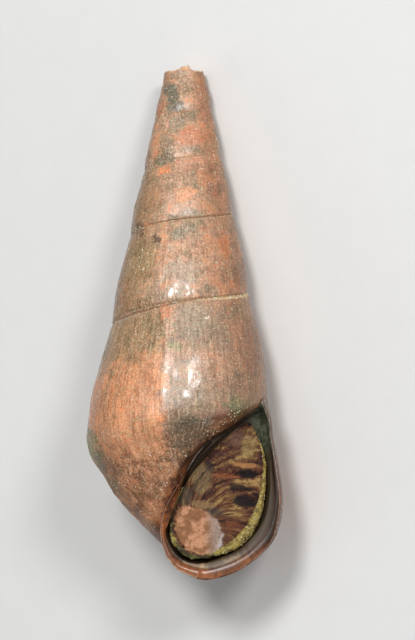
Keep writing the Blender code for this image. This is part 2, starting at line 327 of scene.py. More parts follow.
def curve_through(points, shares, closed=False):
    """Points at the given shares of the length of a smooth curve through the given ones."""
    size = len(points)
    fine = []
    for span in range(size if closed else size - 1):
        near = [points[(span + k) % size if closed else min(max(span + k, 0), size - 1)]
                for k in (-1, 0, 1, 2)]
        for step in range(CURVE_STEPS):
            s = step / CURVE_STEPS
            weights = ((-s + 2 * s ** 2 - s ** 3) / 2, (2 - 5 * s ** 2 + 3 * s ** 3) / 2,
                       (s + 4 * s ** 2 - 3 * s ** 3) / 2, (s ** 3 - s ** 2) / 2)
            fine.append(tuple(sum(w * p[axis] for w, p in zip(weights, near))
                              for axis in range(len(points[0]))))
    fine.append(tuple(points[0] if closed else points[-1]))
    lengths = [0.0]
    for start, end in zip(fine, fine[1:]):
        lengths.append(lengths[-1] + math.dist(start, end))
    picked = []
    at = 0
    for share in shares:
        wanted = lengths[-1] * share
        while at < len(fine) - 2 and lengths[at + 1] < wanted:
            at += 1
        span = max(lengths[at + 1] - lengths[at], 1e-9)
        picked.append(between(fine[at], fine[at + 1], (wanted - lengths[at]) / span))
    return picked


def even_shares(count, closed=False):
    return [k / (count if closed else count - 1) for k in range(count)]


def at_mouth(point, depth=0.0):
    """The place of a point of the mouth's plane, or so far behind it."""
    across, down = point
    return Vector((across, -down - SIZES["Skew"] * across, MOUTH_FORWARD + MOUTH_SLOPE * across - depth))


def in_mouth(point):
    """Where a place is seen on the mouth's plane: across the axis and down it."""
    return point.x, -point.y - SIZES["Skew"] * point.x


# Shares along the wall, crowded together at both seams.
CROWDING = 0.72
WALL_SHARES = [k / WALL_ROWS - CROWDING * math.sin(2 * math.pi * k / WALL_ROWS) / (2 * math.pi)
               for k in range(WALL_ROWS + 1)]
WALL_FINE = curve_through(WALL, WALL_SHARES)
BASE_SHARES = even_shares(BASE_ROWS + 1)
OUTLINE_STEPS = 360
OPENING_FINE = curve_through(OPENING, even_shares(OUTLINE_STEPS, True), closed=True)
# The stretch of the base that the inner lip is laid on, in steps from turn 0, and a distance beyond it.
BASE_STEPS = 120
BASE_STRETCH = range(-36, 61)
FAR_IN_FRONT = 9.0


def base_fine(turn):
    """The base's profile at a turn: rounded where a mouth has stood, slanting on the left."""
    rounded = max(1.0 - smooth(-0.15, 0.2, turn), smooth(0.2, MOUTH_TURN, turn))
    base = [between(slanting, round_, rounded) for slanting, round_ in zip(SLANTING_BASE, ROUNDED_BASE)]
    return curve_through([WALL[-1]] + base, BASE_SHARES)


def opening_reach(direction):
    """How far the opening's outline is from the mouth's middle in a direction."""
    wanted = math.atan2(direction.y, direction.x)

    def off(point):
        turned = math.atan2(point[1] - MOUTH_MIDDLE[1], point[0] - MOUTH_MIDDLE[0]) - wanted
        return abs((turned + math.pi) % (2 * math.pi) - math.pi)

    return math.dist(min(OPENING_FINE, key=off), MOUTH_MIDDLE)


def base_surface():
    """The front half of the last whorl's base, for the inner lip to lie on."""
    profiles = [(k / BASE_STEPS, base_fine(k / BASE_STEPS)) for k in BASE_STRETCH]
    places = [coil(turn, down, out, SIZES) for turn, profile in profiles for down, out in profile]
    row = BASE_ROWS + 1
    faces = [(i * row + j, i * row + j + 1, (i + 1) * row + j + 1, (i + 1) * row + j)
             for i in range(len(profiles) - 1) for j in range(row - 1)]
    return BVHTree.FromPolygons(places, faces)


def inner_lip(turn, base):
    """The crest of the inner lip where a ring of the base meets it. Low down it lies on the base."""
    foot = INNER_LIP[0][1]
    climb = at_least(MOUTH_TURN - turn, 0.0) ** INNER_LIP_CLIMB
    down = foot + (INNER_LIP[-1][1] - foot) * min(climb, 1.0)
    start, end = next(pair for pair in zip(INNER_LIP, INNER_LIP[1:]) if pair[1][1] <= down + 1e-6)
    across = between(start, end, (start[1] - down) / (start[1] - end[1]))[0]
    place = at_mouth((across, down), INNER_LIP_SINK * (1.0 - smooth(*SINK_FADES, down)))
    touched = base.ray_cast(place + Vector((0.0, 0.0, FAR_IN_FRONT)), Vector((0.0, 0.0, -1.0)))[0]
    if touched:
        place.z += max(touched.z + INNER_LIP_RISE - place.z, 0.0) * smooth(*RISE_GROWS, down)
    return place


def plain_mesh(name, places, faces, values, edges=()):
    """A mesh with its values: for each label, a number for each vertex."""
    mesh = bpy.data.meshes.new(name)
    mesh.from_pydata(places, edges, faces)
    for label, numbers in values.items():
        mesh.attributes.new(label, "FLOAT", "POINT").data.foreach_set("value", numbers)
    mesh.update()
    return mesh


class Skin:
    """Vertices of the shell's skin with what the rule and the materials need to know of them."""

    def __init__(self):
        self.places = []
        self.faces = []
        self.values = {name: [] for name in ("turn", "down", "out", "held", "share", "mouth", "relief")}

    def add(self, place=(0.0, 0.0, 0.0), **values):
        self.places.append(tuple(place))
        for name, numbers in self.values.items():
            numbers.append(values.get(name, 0.0))
        return len(self.places) - 1

    def quads(self, row, after):
        for j in range(min(len(row), len(after)) - 1):
            self.faces.append((row[j], row[j + 1], after[j + 1], after[j]))


def throat_line(edge):
    """Points from the mouth's edge over its rim and down the throat, on a ray to the mouth's middle."""
    across, down = in_mouth(edge)
    depth = MOUTH_FORWARD + MOUTH_SLOPE * across - edge.z
    away = Vector((across - MOUTH_MIDDLE[0], down - MOUTH_MIDDLE[1]))
    far = away.length
    away.normalize()
    reach = min(opening_reach(away), far - 0.03)
    width = far - reach

    def on_ray(distance, deep):
        return at_mouth((MOUTH_MIDDLE[0] + away.x * distance, MOUTH_MIDDLE[1] + away.y * distance), deep)

    rim = min(0.05, 0.25 * width)
    line = [edge,
            on_ray(far - rim, depth - 0.02),
            on_ray(far - 0.35 * width, depth - 0.035),
            on_ray(far - 0.62 * width, depth + 0.01),
            on_ray(reach + 0.12 * width, max(depth + 0.14, 0.20)),
            on_ray(reach, 0.34),
            on_ray(reach * 0.985, 0.62),
            on_ray(reach * 0.72, 0.95)]
    return [Vector(point) for point in curve_through(line, even_shares(THROAT_ROWS + 1)[1:])]


def close_tip(skin, open_edge):
    """Closes the top with rings that run in to the axis."""
    edge = [Vector(coil(*(skin.values[name][index] for name in ("turn", "down", "out")), SIZES))
            for index in open_edge]
    middle = Vector((0.0, edge[0].y, 0.0))
    last = open_edge
    for ring in range(1, TIP_RINGS):
        row = [skin.add(place.lerp(middle, ring / TIP_RINGS), turn=TIP_TURN, down=1.0, held=1.0, share=0.5)
               for place in edge]
        skin.quads(last + last[:1], row + row[:1])
        last = row
    tip = skin.add(middle, turn=TIP_TURN, down=1.0, held=1.0, share=0.5)
    for one, two in zip(last, last[1:] + last[:1]):
        skin.faces.append((one, two, tip))


def turn_of(i):
    return TIP_TURN + i / STEPS_PER_TURN


def profile_of(i):
    """A ring's profile: the wall, and the base too where no later whorl covers it."""
    return WALL_FINE + base_fine(turn_of(i))[1:] if i >= LAST_WHORL else WALL_FINE


def outer_lip():
    """Places along the outer lip, one for each point of the last ring's profile."""
    shares = [WALL_SHARE * share / LIP_SHARE for share in WALL_SHARES]
    shares += [(WALL_SHARE + BASE_SHARE * share) / LIP_SHARE for share in BASE_SHARES[1:]]
    return [at_mouth(point) for point in curve_through(OUTER_LIP, shares)]


def add_ring(skin, i, to_lip):
    """A ring of the wall and base, drawn to the lip as it nears the mouth. A seam's place is left to
    the ring a turn later, which starts there."""
    turn = turn_of(i)
    to_mouth = smooth(LIP_TURN, MOUTH_TURN, turn)
    calm = 1.0 - smooth(*CALM_BY_LIP, turn)
    on_front = 1.0 - smooth(*FRONT_ENDS, turn)
    row = []
    for j, (down, out) in enumerate(profile_of(i)):
        if j == WALL_ROWS and i <= LAST_WHORL:
            row.append(None)
            continue
        shift = to_lip[j] * to_mouth
        below = max(j - WALL_ROWS, 0) / BASE_ROWS
        if below > 0.0 and on_front > 0.0:
            place = Vector(coil(turn, down, out, SIZES)) + shift
            plane = MOUTH_FORWARD + MOUTH_SLOPE * place.x - BASE_BEHIND
            shift = shift + Vector((0.0, 0.0, max(plane - place.z, 0.0) * on_front * min(below * 4.0, 1.0)))
        row.append(skin.add(shift, turn=turn, down=down, out=out,
                            share=WALL_SHARES[j] if j <= WALL_ROWS else 1.0 + below,
                            mouth=smooth(0.45, 1.0, below) * 0.5,
                            relief=calm * (1.0 - smooth(0.55, 1.0, below))))
    return row


def add_crest(skin, i, row, base, lip_end):
    """Carries a ring on from the foot of the base to the crest of the inner lip."""
    turn = turn_of(i)
    profile = profile_of(i)

    def placed(j):
        return Vector(coil(turn, *profile[j], SIZES)) + Vector(skin.places[row[j]])

    foot = placed(-1)
    crest = inner_lip(turn, base).lerp(lip_end, smooth(MOUTH_TURN - 0.06, MOUTH_TURN, turn))
    over = foot.lerp(crest, 0.55) + Vector((0, 0, 0.02))
    bend = curve_through([placed(-4), foot, over, crest], even_shares(BEND_STEPS + 1))
    start = min(range(BEND_STEPS + 1), key=lambda k: (Vector(bend[k]) - foot).length)
    for k in range(1, CREST_ROWS + 1):
        step = start + (BEND_STEPS - start) * k / CREST_ROWS
        low = min(int(step), BEND_STEPS - 1)
        row.append(skin.add(between(bend[low], bend[low + 1], step - low), turn=turn, down=1.5, held=1.0,
                            share=2.0 + k / CREST_ROWS, mouth=0.5 + 0.5 * k / CREST_ROWS))
    return crest


def mouth_edge(skin, rows, lip, crests):
    """Vertices round the mouth with their places: down the lip, up the inner lip and over the base."""
    loop = [(rows[-1][j], place) for j, place in enumerate(lip)]
    loop += [(index, Vector(skin.places[index])) for index in rows[-1][len(lip):]]
    loop += [(rows[i][-1], crest) for i, crest in reversed(crests[:-1])]
    top_row = rows[LAST_WHORL]
    profile = profile_of(LAST_WHORL)
    for j in range(len(top_row) - 2, WALL_ROWS, -1):
        place = Vector(skin.places[top_row[j]])
        if j < len(profile):
            place += Vector(coil(turn_of(LAST_WHORL), *profile[j], SIZES))
        loop.append((top_row[j], place))
    return loop


def add_throat(skin, edge):
    """The lip's inside and the throat, closed at the back."""
    columns = []
    for index, place in edge:
        columns.append([index] + [
            skin.add(point, turn=MOUTH_TURN, down=1.5, held=1.0, share=3.0, mouth=1.0 + (k + 1) / THROAT_ROWS)
            for k, point in enumerate(throat_line(place))])
    pairs = list(zip(columns, columns[1:] + columns[:1]))
    for column, after in pairs:
        skin.quads(column, after)
    back = skin.add(at_mouth(MOUTH_MIDDLE, 1.05), turn=MOUTH_TURN, down=1.5, held=1.0, share=3.0, mouth=2.0)
    skin.faces += [(column[-1], after[-1], back) for column, after in pairs]


def shell_skin():
    """The skin before it is coiled: faces, and for each vertex its turn, its place in the profile and
    how the mouth moves it off the spiral."""
    skin = Skin()
    lip = outer_lip()
    to_lip = [place - Vector(coil(MOUTH_TURN, down, out, SIZES))
              for place, (down, out) in zip(lip, profile_of(RING_COUNT))]
    base = base_surface()
    rows, crests = [], []
    for i in range(RING_COUNT + 1):
        row = add_ring(skin, i, to_lip)
        if i >= LAST_WHORL:
            crests.append((i, add_crest(skin, i, row, base, lip[-1])))
        rows.append(row)
    for i in range(LAST_WHORL + 1):
        rows[i][WALL_ROWS] = rows[i + STEPS_PER_TURN][0]
    for row, after in zip(rows, rows[1:]):
        skin.quads(row, after)
    add_throat(skin, mouth_edge(skin, rows, lip, crests))
    close_tip(skin, list(reversed(rows[0])) + [rows[i][0] for i in range(1, STEPS_PER_TURN)])
    return plain_mesh("whorls", skin.places, skin.faces, skin.values)


# ---------------------------------------------------------------- geometry nodes

def grown(name, start, sizes, recipe, material):
    """Runs a recipe of geometry nodes on a mesh. The result is a plain mesh in an object of that name."""
    group = bpy.data.node_groups.new(name, "GeometryNodeTree")
    tree = Tree(group)
    group.interface.new_socket("Geometry", in_out="INPUT", socket_type="NodeSocketGeometry")
    settings = {**sizes, "Material": material}
    sockets = {}
    for label, value in settings.items():
        kind = {int: "NodeSocketInt", float: "NodeSocketFloat"}.get(type(value), "NodeSocketMaterial")
        sockets[label] = group.interface.new_socket(label, in_out="INPUT", socket_type=kind)
    group.interface.new_socket("Geometry", in_out="OUTPUT", socket_type="NodeSocketGeometry")
    entry = group.nodes.new("NodeGroupInput")
    given = {label: Value(tree, entry.outputs[label]) for label in sizes}
    shape = recipe(tree, Value(tree, entry.outputs["Geometry"]), given)
    shape = tree.node("GeometryNodeRealizeInstances", {}, {"Geometry": shape})
    shape = tree.node("GeometryNodeSetMaterial", {},
                      {"Geometry": shape, "Material": Value(tree, entry.outputs["Material"])})
    leave = group.nodes.new("NodeGroupOutput")
    group.links.new(shape.socket, leave.inputs[0])

    piece = bpy.data.objects.new(name, start)
    bpy.context.scene.collection.objects.link(piece)
    modifier = piece.modifiers.new(name, "NODES")
    modifier.node_group = group
    for label, value in settings.items():
        modifier[sockets[label].identifier] = value
    graph = bpy.context.evaluated_depsgraph_get()
    mesh = bpy.data.meshes.new_from_object(piece.evaluated_get(graph))
    piece.modifiers.remove(modifier)
    piece.data = mesh
    mesh.name = name
    mesh.polygons.foreach_set("use_smooth", [True] * len(mesh.polygons))
    return piece


def stored(tree, name):
    return tree.node("GeometryNodeInputNamedAttribute", {"data_type": "FLOAT"}, {"Name": name})


def store(tree, shape, name, value, domain="POINT"):
    return tree.node("GeometryNodeStoreNamedAttribute", {"data_type": "FLOAT", "domain": domain},
                     {"Geometry": shape, "Name": name, "Value": value})


def shifted(tree, shape, offset):
    return tree.node("GeometryNodeSetPosition", {}, {"Geometry": shape, "Offset": offset})


def moved_to(tree, shape, place):
    return tree.node("GeometryNodeSetPosition", {}, {"Geometry": shape, "Position": place})


def chance(tree, seed):
    """A number from 0 to 1 drawn for each point."""
    return tree.node("FunctionNodeRandomValue", {"data_type": "FLOAT"}, {2: 0.0, 3: 1.0, "Seed": seed}, 1)


def sown(tree, surface, density, seed):
    """Points strewn over a surface."""
    return tree.node("GeometryNodeDistributePointsOnFaces", {"distribute_method": "RANDOM"},
                     {"Mesh": surface, "Density": density, "Seed": seed})


def grains_at(tree, points, rotation, size, tint):
    """A small lump at each point, which keeps its tint."""
    lump = tree.node("GeometryNodeMeshIcoSphere", {}, {"Radius": 1.0, "Subdivisions": 1})
    grains = tree.node("GeometryNodeInstanceOnPoints", {},
                       {"Points": points, "Instance": lump, "Rotation": rotation, "Scale": size})
    return store(tree, grains, "tint", tint, "INSTANCE")


# Small chips off the spire's edges: their place, reach and depth.
CHIPS = ((1.22, -6.55, 0.10, 0.085, 0.14), (1.10, -5.35, 0.10, 0.12, 0.05), (-0.84, -4.98, 0.10, 0.11, 0.07),
         (-1.10, -6.08, 0.10, 0.12, 0.07), (2.20, -12.1, 0.10, 0.13, 0.06), (-1.95, -10.05, 0.10, 0.15, 0.06))


def coil_recipe(tree, shape, sizes):
    """Coils the skin by the rule, raises its growth lines and wears its surface, and breaks off the tip."""
    turn = stored(tree, "turn")
    share = stored(tree, "share")
    relief = stored(tree, "relief")
    spiral = tree.vector(*coil(turn, stored(tree, "down"), stored(tree, "out"), sizes))
    free = 1.0 - stored(tree, "held")
    where = tree.node("GeometryNodeInputPosition")
    shape = moved_to(tree, shape, tree.vectors("ADD", tree.vectors("SCALE", spiral, scale=free), where))
    normal = tree.node("GeometryNodeInputNormal")
    height = surface_relief(tree, turn, share, relief, sizes)
    shape = shifted(tree, shape, tree.vectors("SCALE", normal, scale=height * relief))
    return broken_off(tree, shape, sizes)


def surface_relief(tree, turn, share, relief, sizes):
    """How far the surface stands proud: growth lines, lumps, grit, the seam's groove, and less where
    it is worn or chipped."""
    where = tree.node("GeometryNodeInputPosition")
    lines = sizes["Growth Lines"]
    fine = tree.noise(tree.vector(turn * lines, share * 2.2, 0.0), 1.0, 2.0, 0.6) - 0.5
    broad = tree.noise(tree.vector(turn * (lines * 0.16), share * 1.1, 4.0), 1.0, 2.0, 0.5) - 0.5
    lumps = tree.noise(where, 0.9, 3.0, 0.55) - 0.5
    wear = smooth(0.56, 0.72, tree.noise(where, 3.2, 4.0, 0.62))
    grit = tree.noise(where, 9.0, 3.0, 0.6) - 0.5
    crusty = tree.noise(where, 3.0, 3.0, 0.7) - 0.5
    groove = 1.0 - smooth(0.0, 0.014, seam_distance(share, turn))
    bead = 1.0 - smooth(0.010, 0.030, abs(share - 0.028))
    low = smooth(1.0, 1.5, share) * (0.6 + 0.4 * smooth(0.2, 0.6, relief))
    height = (fine * sizes["Line Height"] + broad * (sizes["Line Height"] * 2.2) + lumps * sizes["Lumps"]
              - wear * sizes["Wear"] + grit * (0.010 + low * 0.045) + crusty * low * 0.20
              - (groove * sizes["Seam Groove"] - bead * 0.010) * smooth(-3.0, -0.7, turn))
    for x, y, z, reach, depth in CHIPS:
        gone = tree.vectors("DISTANCE", where, (x, y, z), output="Value")
        height = height - (1.0 - smooth(0.35, 1.0, gone / reach)) * depth
    return height


def broken_off(tree, shape, sizes):
    """Cuts the tip at a jagged break, with a pit in it and the stump of the core, and marks the break."""
    x, y, z = tree.split(tree.node("GeometryNodeInputPosition"))
    radius = (x * x + z * z).maths("SQRT")
    jags = tree.noise(tree.vector(x, 0.0, z), 2.6, 4.0, 0.7) - 0.5
    core = 1.0 - smooth(0.12, 0.34, radius)
    pit = 1.0 - smooth(0.50, 0.66, radius)
    top = jags * 0.26 - (sizes["Break Distance"] + 0.03) - pit * 0.12 + core * 0.46
    shape = store(tree, shape, "broken", smooth(-0.05, 0.02, y - top))
    return moved_to(tree, shape, tree.vector(x, y.maths("MINIMUM", top), z))


def scatter_recipe(tree, surface, sizes):
    """Scatters small lumps over a surface where its mask says, each with its own size and tint."""
    seed = sizes["Seed"]
    points = sown(tree, surface, stored(tree, "mask") * sizes["Density"], seed)
    low = sizes["Smallest"]
    size = low + (sizes["Largest"] - low) * (chance(tree, seed) ** 3.0)
    tilt = tree.node("FunctionNodeRandomValue", {"data_type": "FLOAT_VECTOR"},
                     {0: (-0.6, -0.6, 0.0), 1: (0.6, 0.6, 6.283), "Seed": seed})
    turned = tree.node("FunctionNodeRotateEuler", {"rotation_type": "EULER", "space": "LOCAL"},
                       {0: points.other("Rotation"), 1: tilt})
    squashed = tree.vector(size, size * 0.75, size * sizes["Flatness"])
    return grains_at(tree, points, turned, squashed, chance(tree, seed))


# ---------------------------------------------------------------- materials

BUMP_DEPTH = 0.00003


def painted(material):
    """A material or world with an empty tree."""
    material.use_nodes = True
    material.node_tree.nodes.clear()
    return Tree(material.node_tree)


def finish(tree, sockets):
    """Ends a material in one shader with the given sockets."""
    surface = tree.node("ShaderNodeBsdfPrincipled", {}, sockets)
    leave = tree.tree.nodes.new("ShaderNodeOutputMaterial")
    tree.tree.links.new(surface.socket, leave.inputs["Surface"])


def bumped(tree, height, strength):
    return tree.node("ShaderNodeBump", {}, {"Strength": strength, "Distance": BUMP_DEPTH, "Height": height},
                     "Normal")


def upright_place(tree, offset):
    """The place on the piece in upright millimetres."""
    place = tree.node("ShaderNodeTexCoord", {}, {}, "Object")
    back = -(UPRIGHT @ Vector(offset)) / MILLIMETRE
    return tree.node("ShaderNodeMapping", {"vector_type": "POINT"},
                     {"Vector": place, "Location": back, "Rotation": UPRIGHT.to_euler("XYZ"),
                      "Scale": (1 / MILLIMETRE,) * 3})


def seam_distance(share, turn):
    """How far a point is from the nearest seam. The last whorl has none below it."""
    open_below = smooth(MOUTH_TURN - 1.004, MOUTH_TURN - 1.0, turn)
    return (abs(share - 1.0) + open_below).maths("MINIMUM", abs(share))


EDGE_WANDER = 1.3      # how far the patches' edges wander, in millimetres


class Front:
    """Ragged patches placed on the shell's front, across it and up it as the camera sees it."""

    def __init__(self, tree, place):
        x, y, z = tree.split(place)
        warp = tree.vectors("SUBTRACT", tree.noise(place, 1.5, 5.0, 0.72, 0.0, 1), (0.5, 0.5, 0.5))
        wx, wy, _ = tree.split(warp)
        self.across = x + wx * EDGE_WANDER
        self.up = y * math.cos(VIEW_LEAN) + z * math.sin(VIEW_LEAN) + wy * EDGE_WANDER
        self.facing = smooth(-0.7, -0.1, z)
        self.ragged = (tree.noise(place, 4.2, 5.0, 0.75) - 0.5) * 0.9

    def patch(self, across, up, wide, high, edge):
        away = oval(self.across, self.up, across, up, wide, high)
        soft = 1.0 - smooth(1.0 - edge, 1.0 + edge, away)
        return smooth(0.12, 0.88, soft + self.ragged * 0.75) * self.facing


def oval(across, down, at_across, at_down, wide, high):
    """0 in the middle of an oval and 1 on its edge."""
    dx = (across - at_across) / wide
    dy = (down - at_down) / high
    return (dx * dx + dy * dy).maths("SQRT")


class Surface:
    """What the shell's colours are worked out from: where a point is, and the noises of its skin."""

    def __init__(self, tree, place):
        self.place = place
        self.turn = turn = tree.attribute("turn")
        self.share = share = tree.attribute("share")
        self.mouth = tree.attribute("mouth")
        self.sideways = sine(turn * (2.0 * math.pi))     # 1 on the left, -1 on the right
        self.down = down_axis(tree, place)
        self.line = tree.noise(tree.vector(turn * 190.0, share * 3.5, 0.0), 1.0, 3.0, 0.7)
        self.band = tree.noise(tree.vector(turn * 34.0, share * 1.6, 7.0), 1.0, 3.0, 0.6)
        self.mottle = tree.noise(place, 0.75, 5.0, 0.62, 0.4)
        self.blotch = tree.noise(place, 2.2, 5.0, 0.72, 0.3)
        self.grain = tree.noise(place, 13.0, 3.0, 0.75)
        self.hue = tree.noise(tree.vectors("ADD", place, (5.0, 3.0, 1.0)), 7.0, 4.0, 0.75)
        self.last = smooth(-0.30, -0.22, turn)           # the last whorl
        self.low = smooth(1.02, 1.35, share) * self.last


def ground_colour(tree, on):
    """The spire's mottling, and the last whorl: orange on the left under olive, a pale ridge, then
    grey-brown on the right."""
    patchy = tree.noise(on.place, 1.25, 5.0, 0.68, 0.9) + (on.blotch - 0.5) * 0.45
    colour = tree.node("ShaderNodeValToRGB", {"stops": SPIRE_STOPS}, {0: patchy})
    olive_side = smooth(0.30, 0.90, on.sideways + (on.mottle - 0.5) * 1.2) * smooth(-2.9, -2.2, on.turn)
    colour = tree.mix(olive_side * 0.65, colour, (0.31, 0.200, 0.095))

    ragged_turn = on.turn + (on.blotch - 0.5) * (0.034 + 0.05 * smooth(0.5, 1.0, on.share))
    left = smooth(RIDGE_TURN - 0.008, RIDGE_TURN + 0.012, ragged_turn) * on.last
    streaks = smooth(0.38, 0.62, on.band)
    salmon = tree.mix(streaks, (0.56, 0.275, 0.150), (0.80, 0.360, 0.180))
    olive = tree.mix(streaks, (0.30, 0.205, 0.110), (0.45, 0.28, 0.16))
    colour = tree.mix(left, colour,
                      tree.mix(smooth(0.30, 0.58, on.share + (on.blotch - 0.5) * 0.6), olive, salmon))
    right = (1.0 - smooth(RIDGE_TURN - 0.008, RIDGE_TURN + 0.004, ragged_turn)) * on.last
    cloudy = smooth(0.42, 0.58, on.mottle + (on.band - 0.5) * 0.4)
    colour = tree.mix(right * 0.8, colour, tree.mix(cloudy, (0.31, 0.225, 0.155), (0.50, 0.295, 0.200)))
    ridge = (1.0 - smooth(0.002, 0.020, abs(ragged_turn - RIDGE_TURN + 0.006))) * on.last
    ridge = ridge * (1.0 - smooth(0.55, 1.0, on.share))
    colour = tree.mix(ridge * smooth(0.40, 0.60, on.line) * 0.55, colour, (0.78, 0.50, 0.36))
    base = tree.mix(smooth(0.44, 0.56, on.blotch), (0.23, 0.105, 0.050), (0.56, 0.270, 0.145))
    return tree.mix(on.low * 0.85, colour, base)


def weathered_with_side_shade(tree, on, colour):
    """Blotches, growth streaks, grain, painted shade darkening both sides, and pale specks."""
    for factor, tone in (
            (smooth(0.50, 0.38, on.blotch) * 0.38, (0.60, 0.54, 0.46)),
            (smooth(0.54, 0.66, on.blotch) * 0.28, (1.45, 1.30, 1.15)),
            (smooth(0.46, 0.36, on.hue) * 0.75, (0.66, 0.90, 0.70)),
            (smooth(0.54, 0.64, on.hue) * 0.75, (1.20, 0.84, 0.66))):
        colour = tree.stain(factor, colour, tone)
    streaked = 0.40 + 0.60 * smooth(-2.6, -0.6, on.turn)
    colour = tree.stain(smooth(0.50, 0.38, on.line) * streaked * 0.60, colour, (0.56, 0.49, 0.42))
    colour = tree.mix(smooth(0.54, 0.68, on.line) * streaked * 0.30, colour, (0.86, 0.64, 0.42))
    colour = tree.stain(smooth(0.50, 0.40, on.grain) * 0.46, colour, (0.46, 0.40, 0.34))
    colour = tree.mix(smooth(0.54, 0.66, on.grain) * 0.36, colour, (0.90, 0.70, 0.50))
    # Painted shade: both sides grow darker away from the front, standing in for the light falling off round
    # the shell.
    colour = tree.stain(smooth(-0.10, -0.80, on.sideways) * 0.90, colour, (0.66, 0.52, 0.39))
    colour = tree.stain(smooth(0.55, 1.0, on.sideways) * 0.60, colour, (0.84, 0.76, 0.62))
    speck = 1.0 - smooth(0.12, 0.22, tree.cells(on.place, 8.0))
    speck = speck * smooth(0.50, 0.58, tree.noise(on.place, 1.9, 2.0))
    return tree.mix(speck * 0.75, colour, (0.90, 0.76, 0.54))


def seam_dirt(tree, on, colour):
    """Dark dirt in the seams with a pale thread beside it, and how much dirt there is."""
    shown = (0.08 + 0.92 * smooth(-3.2, -0.9, on.turn)) * (1.0 - smooth(0.80, 1.0, on.mouth))
    dirt = 1.0 - smooth(0.003, 0.014, seam_distance(on.share, on.turn))
    dirt = dirt * shown * smooth(0.36, 0.56, on.blotch)
    colour = tree.mix(dirt * 0.60, colour, (0.13, 0.080, 0.045))
    crusty = smooth(-0.02, -0.08, on.turn) * smooth(-0.40, -0.28, on.turn)
    thread = 1.0 - smooth(0.004, 0.012, abs(on.share - 0.014) - crusty * 0.009)
    thread = thread * smooth(0.40, 0.54, on.grain + crusty * 0.06) * shown
    return tree.mix(thread * 0.65, colour, (0.66, 0.50, 0.28)), dirt


def amber(tree, on):
    return tree.mix(smooth(0.42, 0.58, on.blotch), (0.085, 0.024, 0.009), (0.26, 0.088, 0.030))


def callus_colour_and_shade(tree, on, colour):
    """The dark callus over the base, made darker than its own red-brown as painted shade of the crease
    above the lid, its amber crest, the brown edge by the lip, the lip and the throat, and how far the
    callus reaches."""
    wider = 0.22 * smooth(0.06, -0.02, on.turn) + 0.10 * smooth(-0.02, -0.14, on.turn)
    reach = on.mouth + wider * smooth(0.0, 0.10, on.mouth) - 0.20 * smooth(0.04, 0.12, on.turn)
    callus_and_shade = smooth(0.20, 0.5, reach)
    # The callus's own dark red-brown, made darker still as painted shade of the crease where the last whorl
    # overhangs the lid.
    dark = tree.mix(smooth(0.42, 0.62, on.blotch), (0.024, 0.007, 0.003), (0.085, 0.023, 0.008))
    colour = tree.mix(callus_and_shade, colour, dark)
    crest = smooth(0.20, 0.34, on.mouth - 0.16 * smooth(0.05, 0.14, on.turn)) * smooth(18.4, 19.6, on.down)
    colour = tree.mix(crest * 0.90, colour, amber(tree, on))
    near_lip = smooth(MOUTH_TURN - 0.10, MOUTH_TURN - 0.03, on.turn) * (1.0 - smooth(0.3, 0.6, on.mouth))
    colour = tree.mix(near_lip * 0.9, colour, (0.085, 0.052, 0.034))
    return tree.mix(smooth(0.98, 1.02, on.mouth), colour, lip_colour(tree, on)), callus_and_shade


def lip_colour(tree, on):
    """The lip from its pale edge down the throat: brown, amber at its foot and grey-green at its top.
    Deep in the throat it darkens to near black as painted shade, and the grey-green corner is kept
    brighter as painted light against its shade.
    """
    x, _, _ = tree.split(on.place)
    down = on.down
    along = tree.noise(on.place, 1.1, 3.0, 0.5) - 0.5
    depth = on.mouth - 1.0 + along * 0.10 * smooth(1.02, 1.12, on.mouth)
    side = tree.node("ShaderNodeValToRGB", {"stops": LIP_SIDE_STOPS}, {0: depth})
    foot = tree.node("ShaderNodeValToRGB", {"stops": LIP_FOOT_STOPS}, {0: depth})
    foot = tree.stain(smooth(-0.02, -0.10, along), foot, (1.6, 1.5, 1.3))
    round_lip = (x - MOUTH_MIDDLE[0]).maths("ARCTAN2", down - MOUTH_MIDDLE[1])
    rays = tree.noise(tree.vector(round_lip * 9.0, depth * 1.2, 2.0), 1.0, 4.0, 0.7)
    foot = tree.stain(smooth(0.52, 0.60, rays) * 0.6, foot, (0.45, 0.36, 0.34))
    foot = tree.stain(smooth(0.46, 0.36, rays) * 0.7, foot, (1.55, 1.45, 1.30))
    lip = tree.mix(smooth(21.3, 22.4, down + along * 0.8), side, foot)
    inside = tree.mix(smooth(0.030, 0.004, depth), amber(tree, on), (0.46, 0.36, 0.29))
    # Deeper in, the inner lip darkens to near black: painted shade of the throat.
    inside = tree.mix(smooth(0.20, 0.42, depth), inside, (0.020, 0.010, 0.004))
    inner = smooth(0.30, -0.15, x) * smooth(18.6, 19.4, down) * (1.0 - smooth(21.4, 22.3, down))
    lip = tree.mix(inner, lip, inside)
    # Grey-green at the throat's top corner: its own teal, lightened past it as painted light where the deep
    # corner lies in shade.
    corner = 1.0 - smooth(0.55, 1.15, oval(x, down, *LIP_CORNER) + (on.blotch - 0.5) * 0.8)
    green = tree.mix(smooth(0.44, 0.60, on.blotch), (0.045, 0.052, 0.030), (0.135, 0.140, 0.095))
    return tree.mix(corner * 0.92 * smooth(0.03, 0.06, depth), lip, green)


